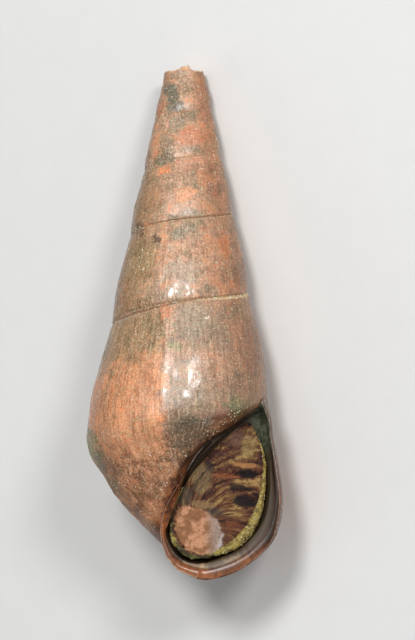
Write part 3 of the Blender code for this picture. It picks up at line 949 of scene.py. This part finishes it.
def fill_shell(material, offset, specular):
    """The shell's skin from its broken tip to the throat, with a sheen as strong as is asked."""
    tree = painted(material)
    place = upright_place(tree, offset)
    on = Surface(tree, place)
    front = Front(tree, place)
    colour = ground_colour(tree, on)
    for *where, strength, tone in FRONT_PATCHES_AND_GLINTS:
        colour = tree.mix(front.patch(*where) * strength, colour, tone)
    colour, dirt = seam_dirt(tree, on, weathered_with_side_shade(tree, on, colour))
    colour, callus_and_shade = callus_colour_and_shade(tree, on, colour)
    broken = tree.attribute("broken")
    cream = tree.mix(smooth(0.44, 0.58, on.blotch), (0.62, 0.36, 0.20), (0.92, 0.76, 0.56))
    colour = tree.mix(broken, colour, cream)

    gloss = smooth(0.3, 0.9, on.mouth)
    rough = 0.27 + (on.grain - 0.5) * 0.45 + (on.blotch - 0.5) * 0.50 + dirt * 0.3 + on.low * 0.20
    rough = rough * (1.0 - gloss) + gloss * (0.20 + (on.blotch - 0.5) * 0.16) + broken * 0.3
    height = (on.line * 0.7 + on.band * 0.35 + on.grain * 0.5) * (1.0 - gloss * 0.94)
    polish = smooth(0.64, 0.42, on.blotch + (on.line - 0.5) * 0.5) * (1.0 - on.low) * (1.0 - gloss)
    polish = polish * (0.15 + 0.85 * smooth(-1.9, -1.1, on.turn))
    polish = polish * (1.0 - smooth(0.35, 0.90, abs(on.sideways))) * (1.0 - 0.75 * callus_and_shade)
    finish(tree, {"Base Color": colour, "Roughness": rough, "Normal": bumped(tree, height, 0.8),
                  "Coat Weight": polish * 0.90, "Coat Roughness": 0.15, "IOR": 1.5,
                  "Specular IOR Level": specular})


def down_axis(tree, place):
    """How far down the axis a point of the mouth is, as its outlines are given."""
    x, y, _ = tree.split(place)
    return -y - x * SIZES["Skew"]


# How strongly the skin and the lining of the lip and throat shine.
SKIN_SPECULAR = 0.38
LINING_SPECULAR = 0.18

# The lip from its thin edge down the throat, at its side and at its foot. Their last stops darken to near
# black as painted shade deep in the throat.
LIP_SIDE_STOPS = ((0.000, (0.62, 0.58, 0.54)), (0.018, (0.48, 0.43, 0.38)), (0.034, (0.045, 0.023, 0.011)),
                  (0.120, (0.018, 0.008, 0.004)), (0.200, (0.080, 0.056, 0.042)),
                  (0.310, (0.135, 0.108, 0.090)), (0.430, (0.100, 0.075, 0.056)),
                  (0.580, (0.060, 0.040, 0.020)), (0.800, (0.010, 0.006, 0.003)))
LIP_FOOT_STOPS = ((0.000, (0.60, 0.50, 0.45)), (0.018, (0.42, 0.28, 0.22)), (0.038, (0.17, 0.070, 0.034)),
                  (0.150, (0.13, 0.047, 0.021)), (0.210, (0.09, 0.042, 0.022)), (0.275, (0.22, 0.18, 0.15)),
                  (0.360, (0.15, 0.12, 0.09)), (0.440, (0.050, 0.030, 0.016)), (0.600, (0.006, 0.004, 0.002)))
LIP_CORNER = (2.92, 17.15, 0.62, 1.20)      # the grey-green oval at its top, its own colour lightened as painted light against the corner's shade

# The spire's mottling, from grey-green through brown to orange.
SPIRE_STOPS = ((0.28, (0.29, 0.225, 0.150)), (0.37, (0.37, 0.250, 0.160)), (0.47, (0.47, 0.285, 0.187)),
               (0.57, (0.59, 0.345, 0.224)), (0.70, (0.74, 0.315, 0.155)))

# Patches on the front: across, up, half width, half height, softness, strength and colour. Most are the
# shell's own colours; the ones marked below are painted highlights.
FRONT_PATCHES_AND_GLINTS = (
    (-0.44, -4.96, 0.30, 0.62, 0.5, 0.85, (0.15, 0.150, 0.115)),
    (0.58, -4.80, 0.36, 0.70, 0.5, 0.50, (0.50, 0.27, 0.17)),
    (-0.88, -5.40, 0.16, 0.36, 0.5, 0.70, (0.58, 0.24, 0.13)),
    (0.25, -6.45, 0.62, 0.36, 0.6, 0.75, (0.64, 0.26, 0.145)),
    (0.40, -7.55, 0.75, 0.28, 0.6, 0.50, (0.52, 0.26, 0.17)),
    (0.80, -5.60, 0.40, 0.40, 0.6, 0.55, (0.54, 0.25, 0.15)),
    (-1.10, -8.80, 0.45, 0.40, 0.6, 0.55, (0.40, 0.22, 0.12)),
    (1.00, -10.50, 0.60, 0.30, 0.6, 0.50, (0.50, 0.26, 0.16)),
    (1.25, -11.60, 0.45, 0.45, 0.6, 0.50, (0.46, 0.24, 0.15)),
    (-0.95, -6.95, 0.22, 0.40, 0.5, 0.70, (0.62, 0.27, 0.15)),
    (-0.75, -7.33, 0.45, 0.26, 0.6, 0.80, (0.20, 0.185, 0.130)),
    (-0.30, -5.95, 0.32, 0.32, 0.6, 0.65, (0.27, 0.235, 0.170)),
    (-0.70, -6.75, 0.30, 0.42, 0.6, 0.60, (0.25, 0.215, 0.150)),
    (-0.80, -7.78, 0.20, 0.17, 0.6, 0.95, (0.80, 0.29, 0.13)),
    (0.13, -8.65, 0.30, 0.28, 0.6, 0.80, (0.74, 0.33, 0.16)),
    (0.84, -8.08, 0.36, 0.30, 0.6, 0.60, (0.66, 0.31, 0.17)),
    (1.14, -8.46, 0.26, 0.30, 0.6, 0.60, (0.27, 0.14, 0.10)),
    (0.39, -9.29, 0.36, 0.15, 0.6, 0.60, (0.31, 0.265, 0.200)),
    (-0.10, -10.02, 0.40, 0.27, 0.6, 0.75, (0.33, 0.285, 0.215)),
    (1.52, -10.60, 0.20, 0.55, 0.6, 0.85, (0.74, 0.32, 0.14)),
    (0.77, -9.90, 0.32, 0.16, 0.6, 0.50, (0.62, 0.30, 0.17)),
    (-1.10, -10.33, 0.20, 0.20, 0.6, 0.85, (0.11, 0.070, 0.050)),
    (-1.64, -9.90, 0.14, 0.22, 0.6, 0.70, (0.14, 0.090, 0.060)),
    (-1.68, -11.28, 0.70, 0.80, 0.6, 0.60, (0.36, 0.25, 0.125)),
    # Pale grey-brown on the penultimate whorl's lower middle: partly its own colour, partly a painted
    # highlight.
    (-0.17, -11.60, 0.75, 0.48, 0.6, 0.50, (0.46, 0.37, 0.28)),
    (2.00, -11.65, 0.30, 0.50, 0.6, 0.60, (0.22, 0.12, 0.08)),
    (-2.43, -12.20, 0.40, 0.60, 0.6, 0.50, (0.36, 0.19, 0.10)),
    (-0.70, -13.05, 0.18, 0.38, 0.6, 0.80, (0.70, 0.31, 0.18)),
    (0.39, -13.35, 0.75, 0.60, 0.6, 0.60, (0.40, 0.315, 0.235)),
    (-0.29, -14.30, 0.26, 0.22, 0.7, 0.60, (0.29, 0.32, 0.13)),
    (0.10, -15.20, 0.55, 0.20, 0.6, 0.50, (0.60, 0.36, 0.20)),
    (1.63, -14.30, 0.30, 0.34, 0.6, 0.45, (0.24, 0.19, 0.14)),
    (2.50, -14.30, 0.40, 1.10, 0.6, 0.60, (0.29, 0.165, 0.11)),
    (1.93, -16.50, 0.36, 0.36, 0.6, 0.90, (0.22, 0.235, 0.120)),
    (0.20, -17.55, 0.75, 0.60, 0.6, 0.85, (0.125, 0.092, 0.052)),
    # Three tiny near-white spots: painted highlight glints.
    (0.89, -13.31, 0.05, 0.05, 0.4, 0.95, (0.95, 0.92, 0.84)),
    (1.13, -11.24, 0.045, 0.045, 0.4, 0.95, (0.95, 0.92, 0.84)),
    (-0.70, -5.71, 0.045, 0.045, 0.4, 0.95, (0.95, 0.92, 0.84)),
    (1.50, -17.00, 0.45, 0.36, 0.6, 0.50, (0.38, 0.18, 0.13)),
    (0.77, -17.10, 0.20, 0.15, 0.6, 0.50, (0.42, 0.37, 0.35)),
    (-1.68, -16.35, 0.50, 0.55, 0.6, 0.50, (0.78, 0.36, 0.19)),
    (-3.60, -17.85, 0.34, 0.60, 0.6, 0.95, (0.25, 0.205, 0.085)),
    (-3.25, -18.75, 0.36, 0.50, 0.6, 0.95, (0.19, 0.155, 0.065)),
    (-2.70, -19.60, 0.40, 0.40, 0.6, 0.50, (0.28, 0.20, 0.10)),
    (-1.40, -18.00, 0.60, 0.60, 0.6, 0.50, (0.72, 0.32, 0.16)),
    (-1.30, -19.60, 0.70, 0.60, 0.6, 0.55, (0.26, 0.115, 0.060)),
    (-1.25, -20.75, 0.42, 0.50, 0.6, 0.80, (0.58, 0.285, 0.150)),
)


# ---------------------------------------------------------------- lid and silt

def lid_skin():
    """The lid's front as rings round the spot where it began, closed by its rim and back."""
    outline = curve_through(LID_OUTLINE, even_shares(LID_SIDES, True), closed=True)
    round_it = [(k, (k + 1) % LID_SIDES) for k in range(LID_SIDES)]
    places, faces = [], []
    for ring in range(LID_RINGS):
        size = 1.0 - ring / LID_RINGS
        depth = LID_DEPTH + LID_DISH * (1.0 - size ** 2)
        places += [tuple(at_mouth(between(LID_START, point, size), depth)) for point in outline]
    for ring in range(LID_RINGS - 1):
        near, far = ring * LID_SIDES, (ring + 1) * LID_SIDES
        faces += [(near + a, far + a, far + b, near + b) for a, b in round_it]
    middle = len(places)
    places.append(tuple(at_mouth(LID_START, LID_DEPTH + LID_DISH)))
    inner = (LID_RINGS - 1) * LID_SIDES
    faces += [(inner + a, middle, inner + b) for a, b in round_it]
    back = len(places)
    places += [tuple(at_mouth(point, LID_DEPTH + LID_THICKNESS)) for point in outline]
    faces += [(a, b, back + b, back + a) for a, b in round_it]
    behind = len(places)
    places.append(tuple(at_mouth(LID_START, LID_DEPTH + LID_DISH + LID_THICKNESS)))
    faces += [(back + a, back + b, behind) for a, b in round_it]
    return plain_mesh("lid", places, faces, {"front": [1.0 if k < back else 0.0 for k in range(len(places))]})


def lid_lines(tree, place):
    """The lid's growth lines, numbered round the fan, and how far each point is from its start."""
    x, _, _ = tree.split(place)
    down = down_axis(tree, place)
    dx = x - LID_START[0]
    dy = LID_START[1] - down
    away = (dx * dx + dy * dy).maths("SQRT")
    return x, down, away, dy.maths("ARCTAN2", dx) + away * 0.26


# The plate's oval, on axes turned an eighth of the way round: its middle and its two radii.
PLATE = (-0.04, 0.18, math.sqrt(2.0) * 1.04, math.sqrt(2.0) * 0.84)


def lid_recipe(tree, shape, sizes):
    """Raises the lid's growth lines and the round plate where it began."""
    place = tree.node("GeometryNodeInputPosition")
    x, down, away, line = lid_lines(tree, place)
    lines = sizes["Lines"]
    fine = tree.noise(tree.vector(line * lines, away * 0.5, 0.0), 1.0, 2.0, 0.6) - 0.5
    broad = tree.noise(tree.vector(line * (lines * 0.3), away * 0.3, 3.0), 1.0, 2.0, 0.5) - 0.5
    grain = tree.noise(place, 9.0, 3.0, 0.65) - 0.5
    edge = tree.noise(place, 2.4, 3.0, 0.6) - 0.5
    across, up = x - LID_START[0], LID_START[1] - down
    plate = 1.0 - smooth(0.92, 1.02, oval(across - up, across + up, *PLATE) + edge * 0.55)
    height = (fine + broad * 1.6) * sizes["Line Height"] * (1.0 - plate) + grain * 0.018
    height = height + plate * sizes["Plate Height"]
    shape = shifted(tree, shape, tree.vector(0.0, 0.0, height * stored(tree, "front")))
    return store(tree, shape, "plate", plate)


HORN_STOPS = ((0.34, (0.012, 0.006, 0.005)), (0.42, (0.045, 0.016, 0.011)), (0.49, (0.105, 0.036, 0.019)),
              (0.56, (0.15, 0.075, 0.030)), (0.66, (0.34, 0.215, 0.080)))
STREAKED_BELOW = 0.8       # weaker patches on the lid let its growth lines through

# Dark and pale patches on the lid: across, down, half width, half height, strength and colour.
LID_PATCHES = (
    (2.42, 19.02, 0.46, 0.17, 0.97, (0.007, 0.004, 0.003)),
    (2.05, 19.60, 0.40, 0.13, 0.85, (0.010, 0.005, 0.004)),
    (2.20, 20.08, 0.44, 0.24, 0.95, (0.009, 0.006, 0.006)),
    (2.32, 18.72, 0.55, 0.10, 0.85, (0.40, 0.19, 0.07)),
    (1.55, 19.20, 0.50, 0.10, 0.70, (0.36, 0.12, 0.04)),
    (2.66, 19.40, 0.22, 0.10, 0.85, (0.36, 0.22, 0.08)),
    (1.50, 19.05, 0.40, 0.30, 0.50, (0.10, 0.028, 0.016)),
    (1.80, 21.05, 0.45, 0.34, 0.55, (0.20, 0.070, 0.030)),
    (1.80, 17.80, 0.50, 0.35, 0.55, (0.15, 0.075, 0.050)),
    (2.38, 18.05, 0.30, 0.45, 0.75, (0.32, 0.215, 0.085)),
    (1.95, 17.55, 0.30, 0.30, 0.55, (0.17, 0.095, 0.065)),
    (0.95, 18.90, 0.22, 0.22, 0.80, (0.028, 0.014, 0.014)),
    (1.30, 18.40, 0.40, 0.16, 0.60, (0.055, 0.024, 0.020)),
    (0.62, 19.40, 0.42, 0.60, 0.45, (0.21, 0.165, 0.085)),
    (0.00, 20.10, 0.30, 0.42, 0.50, (0.085, 0.080, 0.055)),
    (0.70, 20.35, 0.46, 0.16, 0.70, (0.30, 0.185, 0.085)),
    (1.10, 20.60, 0.34, 0.16, 0.70, (0.055, 0.045, 0.038)),
)


def fill_lid(material, offset):
    """Brown and tan horn streaked along its growth lines, with dark patches and a paler, grainy plate."""
    tree = painted(material)
    place = upright_place(tree, offset)
    x, down, away, line = lid_lines(tree, place)
    plate = tree.attribute("plate")
    warp = tree.noise(place, 1.4, 3.0, 0.6) - 0.5
    wander = (tree.noise(place, 2.3, 4.0, 0.65) - 0.5) * smooth(0.6, 3.0, away)
    line = line + wander * 0.30
    fan = tree.noise(tree.vector(line * 9.0 + warp * 0.8, away * 0.9, 0.0), 1.0, 4.0, 0.65)
    thin = tree.noise(tree.vector(line * 34.0, away * 1.6, 5.0), 1.0, 3.0, 0.65)
    thin = 0.5 + (thin - 0.5) * (0.25 + 0.75 * smooth(0.9, 1.8, away))
    mottle = tree.noise(place, 3.6, 5.0, 0.72) - 0.5
    grain = tree.noise(place, 15.0, 3.0, 0.7)
    blotch = tree.noise(place, 2.2, 4.0, 0.6)
    streaks = fan + (thin - 0.5) * 0.38 + warp * 0.15 + mottle * smooth(0.8, 3.2, away) * 0.55
    colour = tree.node("ShaderNodeValToRGB", {"stops": HORN_STOPS}, {0: streaks})
    bent_x = x + warp * 0.3
    bent_down = down + (thin - 0.5) * 0.12 + warp * 0.2
    for across, low, wide, high, strength, tone in LID_PATCHES:
        off = oval(bent_x, bent_down, across, low, wide, high)
        mask = 1.0 - smooth(0.60, 1.20, off + (blotch - 0.5) * 1.1)
        if strength < STREAKED_BELOW:
            mask = mask * smooth(0.28, 0.58, thin + (fan - 0.5) * 0.8 + 0.08)
        colour = tree.mix(mask * strength, colour, tone)
    colour = tree.stain(smooth(0.58, 0.40, thin) * 0.4, colour, (0.5, 0.45, 0.42))
    disc = tree.mix(smooth(0.42, 0.58, blotch), (0.25, 0.115, 0.055), (0.52, 0.265, 0.150))
    right = x - LID_START[0] + (blotch - 0.5) * 0.9
    disc = tree.mix(smooth(0.25, 0.72, right) * 0.8, disc, (0.30, 0.235, 0.195))
    disc = tree.mix(smooth(0.76, 0.94, right) * 0.8, disc, (0.44, 0.39, 0.37))
    colour = tree.mix(plate, colour, disc)
    colour = tree.stain(smooth(0.58, 0.36, grain) * 0.5, colour, (0.5, 0.46, 0.42))
    colour = tree.mix(smooth(0.62, 0.80, grain) * (0.12 + 0.28 * plate), colour, (0.72, 0.56, 0.40))
    finish(tree, {"Base Color": colour, "Roughness": 0.40 + plate * 0.20 + (blotch - 0.5) * 0.5,
                  "Normal": bumped(tree, thin * 0.8 + grain * 0.6, 0.6), "IOR": 1.5,
                  "Specular IOR Level": 0.06})


# How thick the silt is along the lid's edge, from the mouth's upper corner round to its lower left.
SILT_THICKNESS = ((0.0, 0.020), (0.08, 0.035), (0.18, 0.055), (0.28, 0.115), (0.40, 0.185), (0.49, 0.165),
                  (0.56, 0.080), (0.72, 0.085), (0.84, 0.055), (0.94, 0.030), (1.0, 0.006))


def silt_line():
    """The middle of the silt along the lid's edge, with its radius at each point."""
    lid = curve_through(LID_OUTLINE, even_shares(OUTLINE_STEPS, True), closed=True)
    radii = [radius for _, radius in curve_through(SILT_THICKNESS, even_shares(SILT_POINTS))]
    first, last = SILT_SPAN
    places = []
    for k, radius in enumerate(radii):
        share = first + (last - first) * k / (SILT_POINTS - 1)
        on_lid = lid[round(share * OUTLINE_STEPS) % OUTLINE_STEPS]
        near = min(OPENING_FINE, key=lambda point: math.dist(point, on_lid))
        middle = between(on_lid, near, min(radius * 0.8 / math.dist(near, on_lid), 0.5))
        places.append(tuple(at_mouth(middle, SILT_DEPTH)))
    edges = [(k, k + 1) for k in range(SILT_POINTS - 1)]
    return plain_mesh("silt", places, [], {"thick": radii}, edges)


def silt_recipe(tree, line, sizes):
    """A lumpy bead along the gap, covered in grains."""
    curve = tree.node("GeometryNodeMeshToCurve", {}, {"Mesh": line})
    curve = tree.node("GeometryNodeSetCurveRadius", {}, {"Curve": curve, "Radius": stored(tree, "thick")})
    curve = tree.node("GeometryNodeResampleCurve", {}, {"Curve": curve, "Count": sizes["Steps"]})
    ring = tree.node("GeometryNodeCurvePrimitiveCircle", {}, {"Resolution": 20, "Radius": 1.0})
    radius = tree.node("GeometryNodeInputRadius")
    bead = tree.node("GeometryNodeCurveToMesh", {},
                     {"Curve": curve, "Profile Curve": ring, "Scale": radius, "Fill Caps": True})
    lumps = tree.noise(tree.node("GeometryNodeInputPosition"), 4.5, 4.0, 0.6) - 0.5
    normal = tree.node("GeometryNodeInputNormal")
    bead = shifted(tree, bead, tree.vectors("SCALE", normal, scale=lumps * sizes["Lumps"]))
    points = sown(tree, bead, sizes["Density"], sizes["Seed"])
    tint = chance(tree, sizes["Seed"])
    size = sizes["Smallest"] + (sizes["Largest"] - sizes["Smallest"]) * (tint ** 2.0)
    squashed = tree.vector(size, size * 0.8, size * 0.7)
    grains = grains_at(tree, points, points.other("Rotation"), squashed, tint)
    join = tree.tree.nodes.new("GeometryNodeJoinGeometry")
    for part in (bead, grains):
        tree.tree.links.new(part.socket, join.inputs[0])
    return Value(tree, join.outputs[0])


def fill_silt(material, offset):
    """Yellow-green silt with paler grains, and painted shade darkening it at its lower left, where it lies in
    the gap between lid and lip.
    """
    tree = painted(material)
    place = upright_place(tree, offset)
    x, _, _ = tree.split(place)
    blotch = tree.noise(place, 2.6, 4.0, 0.65)
    grain = tree.noise(place, 18.0, 3.0, 0.7)
    colour = tree.mix(smooth(0.40, 0.60, blotch), (0.125, 0.080, 0.018), (0.34, 0.26, 0.060))
    colour = tree.mix(smooth(0.62, 0.78, grain) * 0.6, colour, (0.66, 0.56, 0.26))
    colour = tree.mix(smooth(0.45, 0.30, grain) * 0.6, colour, (0.075, 0.050, 0.014))
    colour = tree.mix(smooth(0.88, 0.98, tree.attribute("tint")) * 0.7, colour, (0.72, 0.64, 0.36))
    # Painted shade: the silt goes dark at its lower left, standing in for the shaded gap between lid and lip.
    lower_left_shade = smooth(1.5, 0.6, x) * smooth(0.58, 0.46, tree.noise(place, 1.3, 2.0))
    dark = tree.mix(smooth(0.45, 0.6, blotch), (0.020, 0.013, 0.006), (0.10, 0.095, 0.03))
    colour = tree.mix(lower_left_shade * 0.90, colour, dark)
    finish(tree, {"Base Color": colour, "Roughness": 0.55 + (blotch - 0.5) * 0.4,
                  "Normal": bumped(tree, grain, 0.7), "IOR": 1.45, "Specular IOR Level": 0.35})


# ---------------------------------------------------------------- grit, moss and crust

def fill_grit(material, stops, roughness=0.45):
    """Small grains: each takes its colour from its tint."""
    tree = painted(material)
    colour = tree.node("ShaderNodeValToRGB", {"stops": stops}, {0: tree.attribute("tint")})
    place = tree.node("ShaderNodeTexCoord", {}, {}, "Object")
    grain = tree.noise(place, 22000.0, 2.0, 0.6)
    colour = tree.stain(smooth(0.6, 0.35, grain) * 0.4, colour, (0.5, 0.45, 0.4))
    finish(tree, {"Base Color": colour, "Roughness": roughness + (grain - 0.5) * 0.3, "IOR": 1.5})


GRIT_STOPS = ((0.0, (0.56, 0.38, 0.24)), (0.35, (0.55, 0.34, 0.12)), (0.6, (0.60, 0.44, 0.28)),
              (0.85, (0.32, 0.20, 0.11)), (1.0, (0.84, 0.80, 0.72)))
MOSS_STOPS = ((0.0, (0.17, 0.20, 0.06)), (0.4, (0.26, 0.26, 0.09)), (0.7, (0.36, 0.31, 0.12)),
              (1.0, (0.55, 0.50, 0.28)))
CRUST_STOPS = ((0.0, (0.34, 0.26, 0.08)), (0.5, (0.50, 0.38, 0.13)), (0.8, (0.70, 0.60, 0.34)),
               (1.0, (0.82, 0.76, 0.60)))

# Where moss and crust sit: across, up, half width, half height and how thickly.
MOSS_SPOTS = ((-0.29, -14.30, 0.30, 0.26, 1.0), (-3.50, -18.30, 0.42, 0.90, 1.2),
              (-0.81, -7.25, 0.40, 0.35, 0.5), (1.93, -16.60, 0.36, 0.36, 0.7),
              (1.20, -7.00, 0.30, 0.60, 0.5), (-0.44, -4.96, 0.35, 0.70, 0.4),
              (-2.90, -19.60, 0.50, 0.50, 0.5))
CRUST_SPOTS = ((1.02, -17.48, 0.26, 0.12, 1.8), (1.60, -17.10, 0.40, 0.11, 1.0),
               (0.05, -18.28, 0.14, 0.14, 1.8), (1.95, -16.85, 0.30, 0.20, 0.8),
               (-1.55, -11.10, 0.35, 0.55, 0.5), (-1.15, -10.35, 0.25, 0.20, 1.0),
               (-1.70, -9.95, 0.20, 0.30, 0.7), (1.20, -6.60, 0.16, 0.70, 0.8))


def numbers_of(mesh, label):
    numbers = [0.0] * len(mesh.vertices)
    mesh.attributes[label].data.foreach_get("value", numbers)
    return numbers


SkinPoint = namedtuple("SkinPoint", "across up forward turn share")


def masked_copy(mesh, name, level):
    """A copy of the shell's skin with a mask worked out for each vertex from its place and turn.
    Nothing grows in the mouth."""
    copy = mesh.copy()
    copy.name = name
    numbers = []
    for vertex, turn, mouth, share in zip(copy.vertices, *(numbers_of(copy, label) for label in (
            "turn", "mouth", "share"))):
        x, y, z = vertex.co
        up = y * math.cos(VIEW_LEAN) + z * math.sin(VIEW_LEAN)
        numbers.append(level(SkinPoint(x, up, z, turn, share)) if mouth < 0.45 else 0.0)
    copy.attributes.new("mask", "FLOAT", "POINT").data.foreach_set("value", numbers)
    return copy


def spots(places):
    """A level that is high round the given spots on the front."""
    def level(point):
        total = 0.0
        if point.forward >= -0.5:
            for across, up, wide, tall, thick in places:
                away = math.hypot((point.across - across) / wide, (point.up - up) / tall)
                total += thick * (1.0 - smooth(0.4, 1.1, away))
        return total
    return level


def grit_level(point):
    """Grit is everywhere, and thicker by the seams, up the spire and on the base."""
    near_seam = 1.0 - smooth(0.02, 0.10, min(abs(point.share), abs(point.share - 1.0)))
    upper = smooth(-9.5, -7.0, point.up)
    return 0.25 + 0.9 * near_seam + 0.5 * upper + 0.9 * smooth(1.05, 1.35, point.share)


def bead_level(point):
    """Beads of crust in the last whorl's seam, on its right, and thinly in the seams above."""
    near = 1.0 - smooth(0.006, 0.022, abs(point.share - 0.014))
    right = smooth(-0.02, -0.07, point.turn) * smooth(-0.36, -0.26, point.turn)
    return near * (2.4 * right + 0.10)


# Grains on the skin: where they sit, their finish, how many to a square millimetre, their smallest and
# largest radius, how flat they are and their seed.
SCATTERED = (
    ("grit", grit_level, "grit_grains", 36.0, 0.007, 0.030, 0.7, 11),
    ("moss", spots(MOSS_SPOTS), "moss_grains", 150.0, 0.010, 0.034, 0.5, 21),
    ("crust", spots(CRUST_SPOTS), "crust_grains", 110.0, 0.012, 0.045, 0.7, 31),
    ("seam_beads", bead_level, "crust_grains", 130.0, 0.012, 0.040, 0.8, 41),
)


def scatter(skin, finishes):
    """Every kind of grain on the skin, each as its own piece."""
    labels = ("Density", "Smallest", "Largest", "Flatness", "Seed")
    return [grown(name, masked_copy(skin, name, level), dict(zip(labels, sizes)), scatter_recipe,
                  finishes[finish_name])
            for name, level, finish_name, *sizes in SCATTERED]


# ---------------------------------------------------------------- the scene

def line_mouth(mesh, lining):
    """Gives the lip and the throat their duller lining."""
    mesh.materials.append(lining)
    mouth = numbers_of(mesh, "mouth")
    for face in mesh.polygons:
        if min(mouth[index] for index in face.vertices) > 0.999:
            face.material_index = 1


def face_outwards(mesh):
    """Turns every face of a closed mesh outwards."""
    bm = bmesh.new()
    bm.from_mesh(mesh)
    bmesh.ops.recalc_face_normals(bm, faces=bm.faces)
    bm.to_mesh(mesh)
    bm.free()


def offset_to_frame(mesh):
    """Where the upright origin comes to lie, so that the shell fills its place in the frame."""
    corners = [LYING @ vertex.co * MILLIMETRE for vertex in mesh.vertices]
    low = [min(corner[axis] for corner in corners) for axis in range(3)]
    high = [max(corner[axis] for corner in corners) for axis in range(3)]
    box_low, box_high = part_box("shell")
    return Vector(((box_low[0] + box_high[0] - low[0] - high[0]) / 2,
                   (box_low[1] + box_high[1] - low[1] - high[1]) / 2, box_low[2] - low[2]))


def lay_down(piece, offset):
    """Turns a finished upright piece to lie in its place in the frame, in metres."""
    piece.data.transform(Matrix.Translation(offset) @ LYING.to_4x4() @ Matrix.Scale(MILLIMETRE, 4))
    piece.data.update()


def add_object(name, data):
    made = bpy.data.objects.new(name, data)
    bpy.context.scene.collection.objects.link(made)
    return made


def make_camera(offset):
    """Looks down at the mouth along the shell's own front, with the spire upwards."""
    to_camera = LYING @ Vector((0.0, -math.sin(VIEW_LEAN), math.cos(VIEW_LEAN)))
    up = LYING @ Vector((0.0, math.cos(VIEW_LEAN), math.sin(VIEW_LEAN)))
    right = up.cross(to_camera)
    target = offset + LYING @ Vector(CAMERA_TARGET) * MILLIMETRE
    data = bpy.data.cameras.new("camera")
    data.lens = 300.0
    data.sensor_width = 36.0
    data.clip_start = 0.005
    data.clip_end = 20.0
    camera = add_object("camera", data)
    distance = data.lens / data.sensor_width * FRAME_HEIGHT * MILLIMETRE
    camera.matrix_world = Matrix.Translation(target + to_camera * distance) @ Matrix(
        (right, up, to_camera)).transposed().to_4x4()
    bpy.context.scene.camera = camera
    return right, up, to_camera


def add_light(name, place, size, power):
    data = bpy.data.lights.new(name, "AREA")
    data.shape = "DISK"
    data.size = size
    data.energy = power
    light = add_object(name, data)
    light.location = place
    light.rotation_mode = "QUATERNION"
    light.rotation_quaternion = (place - LIT_PLACE).to_track_quat("Z", "Y")


LIT_PLACE = Vector((0.0, 0.0, 0.003))
KEY_DISTANCE = 0.25
WORLD_GLOW = 0.18


def add_lights(right, up, to_camera):
    """Two small keys above the camera's sides, three large soft lights and an even glow."""
    key_left = (to_camera - right * 0.27 + up * 0.40).normalized() * KEY_DISTANCE
    key_right = (to_camera + right * 0.25 + up * 0.36).normalized() * KEY_DISTANCE
    for name, away, size, power in (
            ("key_left", key_left, 0.060, 0.36),
            ("key_right", key_right, 0.050, 0.27),
            ("soft_top", Vector((0.05, 0.10, 0.45)), 0.40, 0.24),
            ("soft_left", Vector((-0.40, -0.15, 0.25)), 0.30, 0.17),
            ("soft_right", Vector((0.35, -0.25, 0.20)), 0.30, 0.08)):
        add_light(name, LIT_PLACE + away, size, power)
    world = bpy.data.worlds.new("studio")
    bpy.context.scene.world = world
    tree = painted(world)
    glow = tree.node("ShaderNodeBackground", {}, {"Color": (0.98, 0.98, 1.0, 1.0), "Strength": WORLD_GLOW})
    leave = world.node_tree.nodes.new("ShaderNodeOutputWorld")
    world.node_tree.links.new(glow.socket, leave.inputs["Surface"])


def add_floor():
    """A plain pale sheet of paper."""
    bm = bmesh.new()
    bmesh.ops.create_grid(bm, x_segments=1, y_segments=1, size=2.0)
    mesh = bpy.data.meshes.new("floor")
    bm.to_mesh(mesh)
    bm.free()
    material = bpy.data.materials.new("floor_paper")
    tree = painted(material)
    fibres = tree.noise(tree.node("ShaderNodeTexCoord", {}, {}, "Object"), 900.0, 3.0, 0.6)
    finish(tree, {"Base Color": tree.mix(fibres, (0.74, 0.74, 0.73), (0.78, 0.78, 0.77)), "Roughness": 0.9})
    mesh.materials.append(material)
    floor = add_object("floor", mesh)


def main():
    bpy.context.scene.view_settings.view_transform = "Standard"
    finishes = {name: bpy.data.materials.new(name) for name in (
        "shell_surface", "lip_lining", "lid_horn", "silt_crust",
        "grit_grains", "moss_grains", "crust_grains")}
    start = shell_skin()
    face_outwards(start)
    whorls = grown("shell_whorls", start, {**SIZES, **WEAR_SIZES}, coil_recipe, finishes["shell_surface"])
    face_outwards(whorls.data)
    line_mouth(whorls.data, finishes["lip_lining"])
    lid = grown("lid", lid_skin(), {"Lines": 15.0, "Line Height": 0.028, "Plate Height": 0.035}, lid_recipe,
                finishes["lid_horn"])
    face_outwards(lid.data)
    silt = grown("silt", silt_line(), {"Steps": 400, "Lumps": 0.15, "Density": 900.0, "Smallest": 0.008,
                                       "Largest": 0.034, "Seed": 3}, silt_recipe, finishes["silt_crust"])
    grains = scatter(whorls.data, finishes)

    offset = offset_to_frame(whorls.data)
    pieces = (whorls, lid, silt, *grains)
    for piece in pieces:
        lay_down(piece, offset)
    fill_shell(finishes["shell_surface"], offset, SKIN_SPECULAR)
    fill_shell(finishes["lip_lining"], offset, LINING_SPECULAR)
    fill_lid(finishes["lid_horn"], offset)
    fill_silt(finishes["silt_crust"], offset)
    fill_grit(finishes["grit_grains"], GRIT_STOPS)
    fill_grit(finishes["moss_grains"], MOSS_STOPS, 0.6)
    fill_grit(finishes["crust_grains"], CRUST_STOPS)

    for piece in pieces:
        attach(piece, "root")
    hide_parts("shell")
    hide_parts("operculum")
    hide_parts("silt_seam")

    add_floor()
    add_lights(*make_camera(offset))


main()
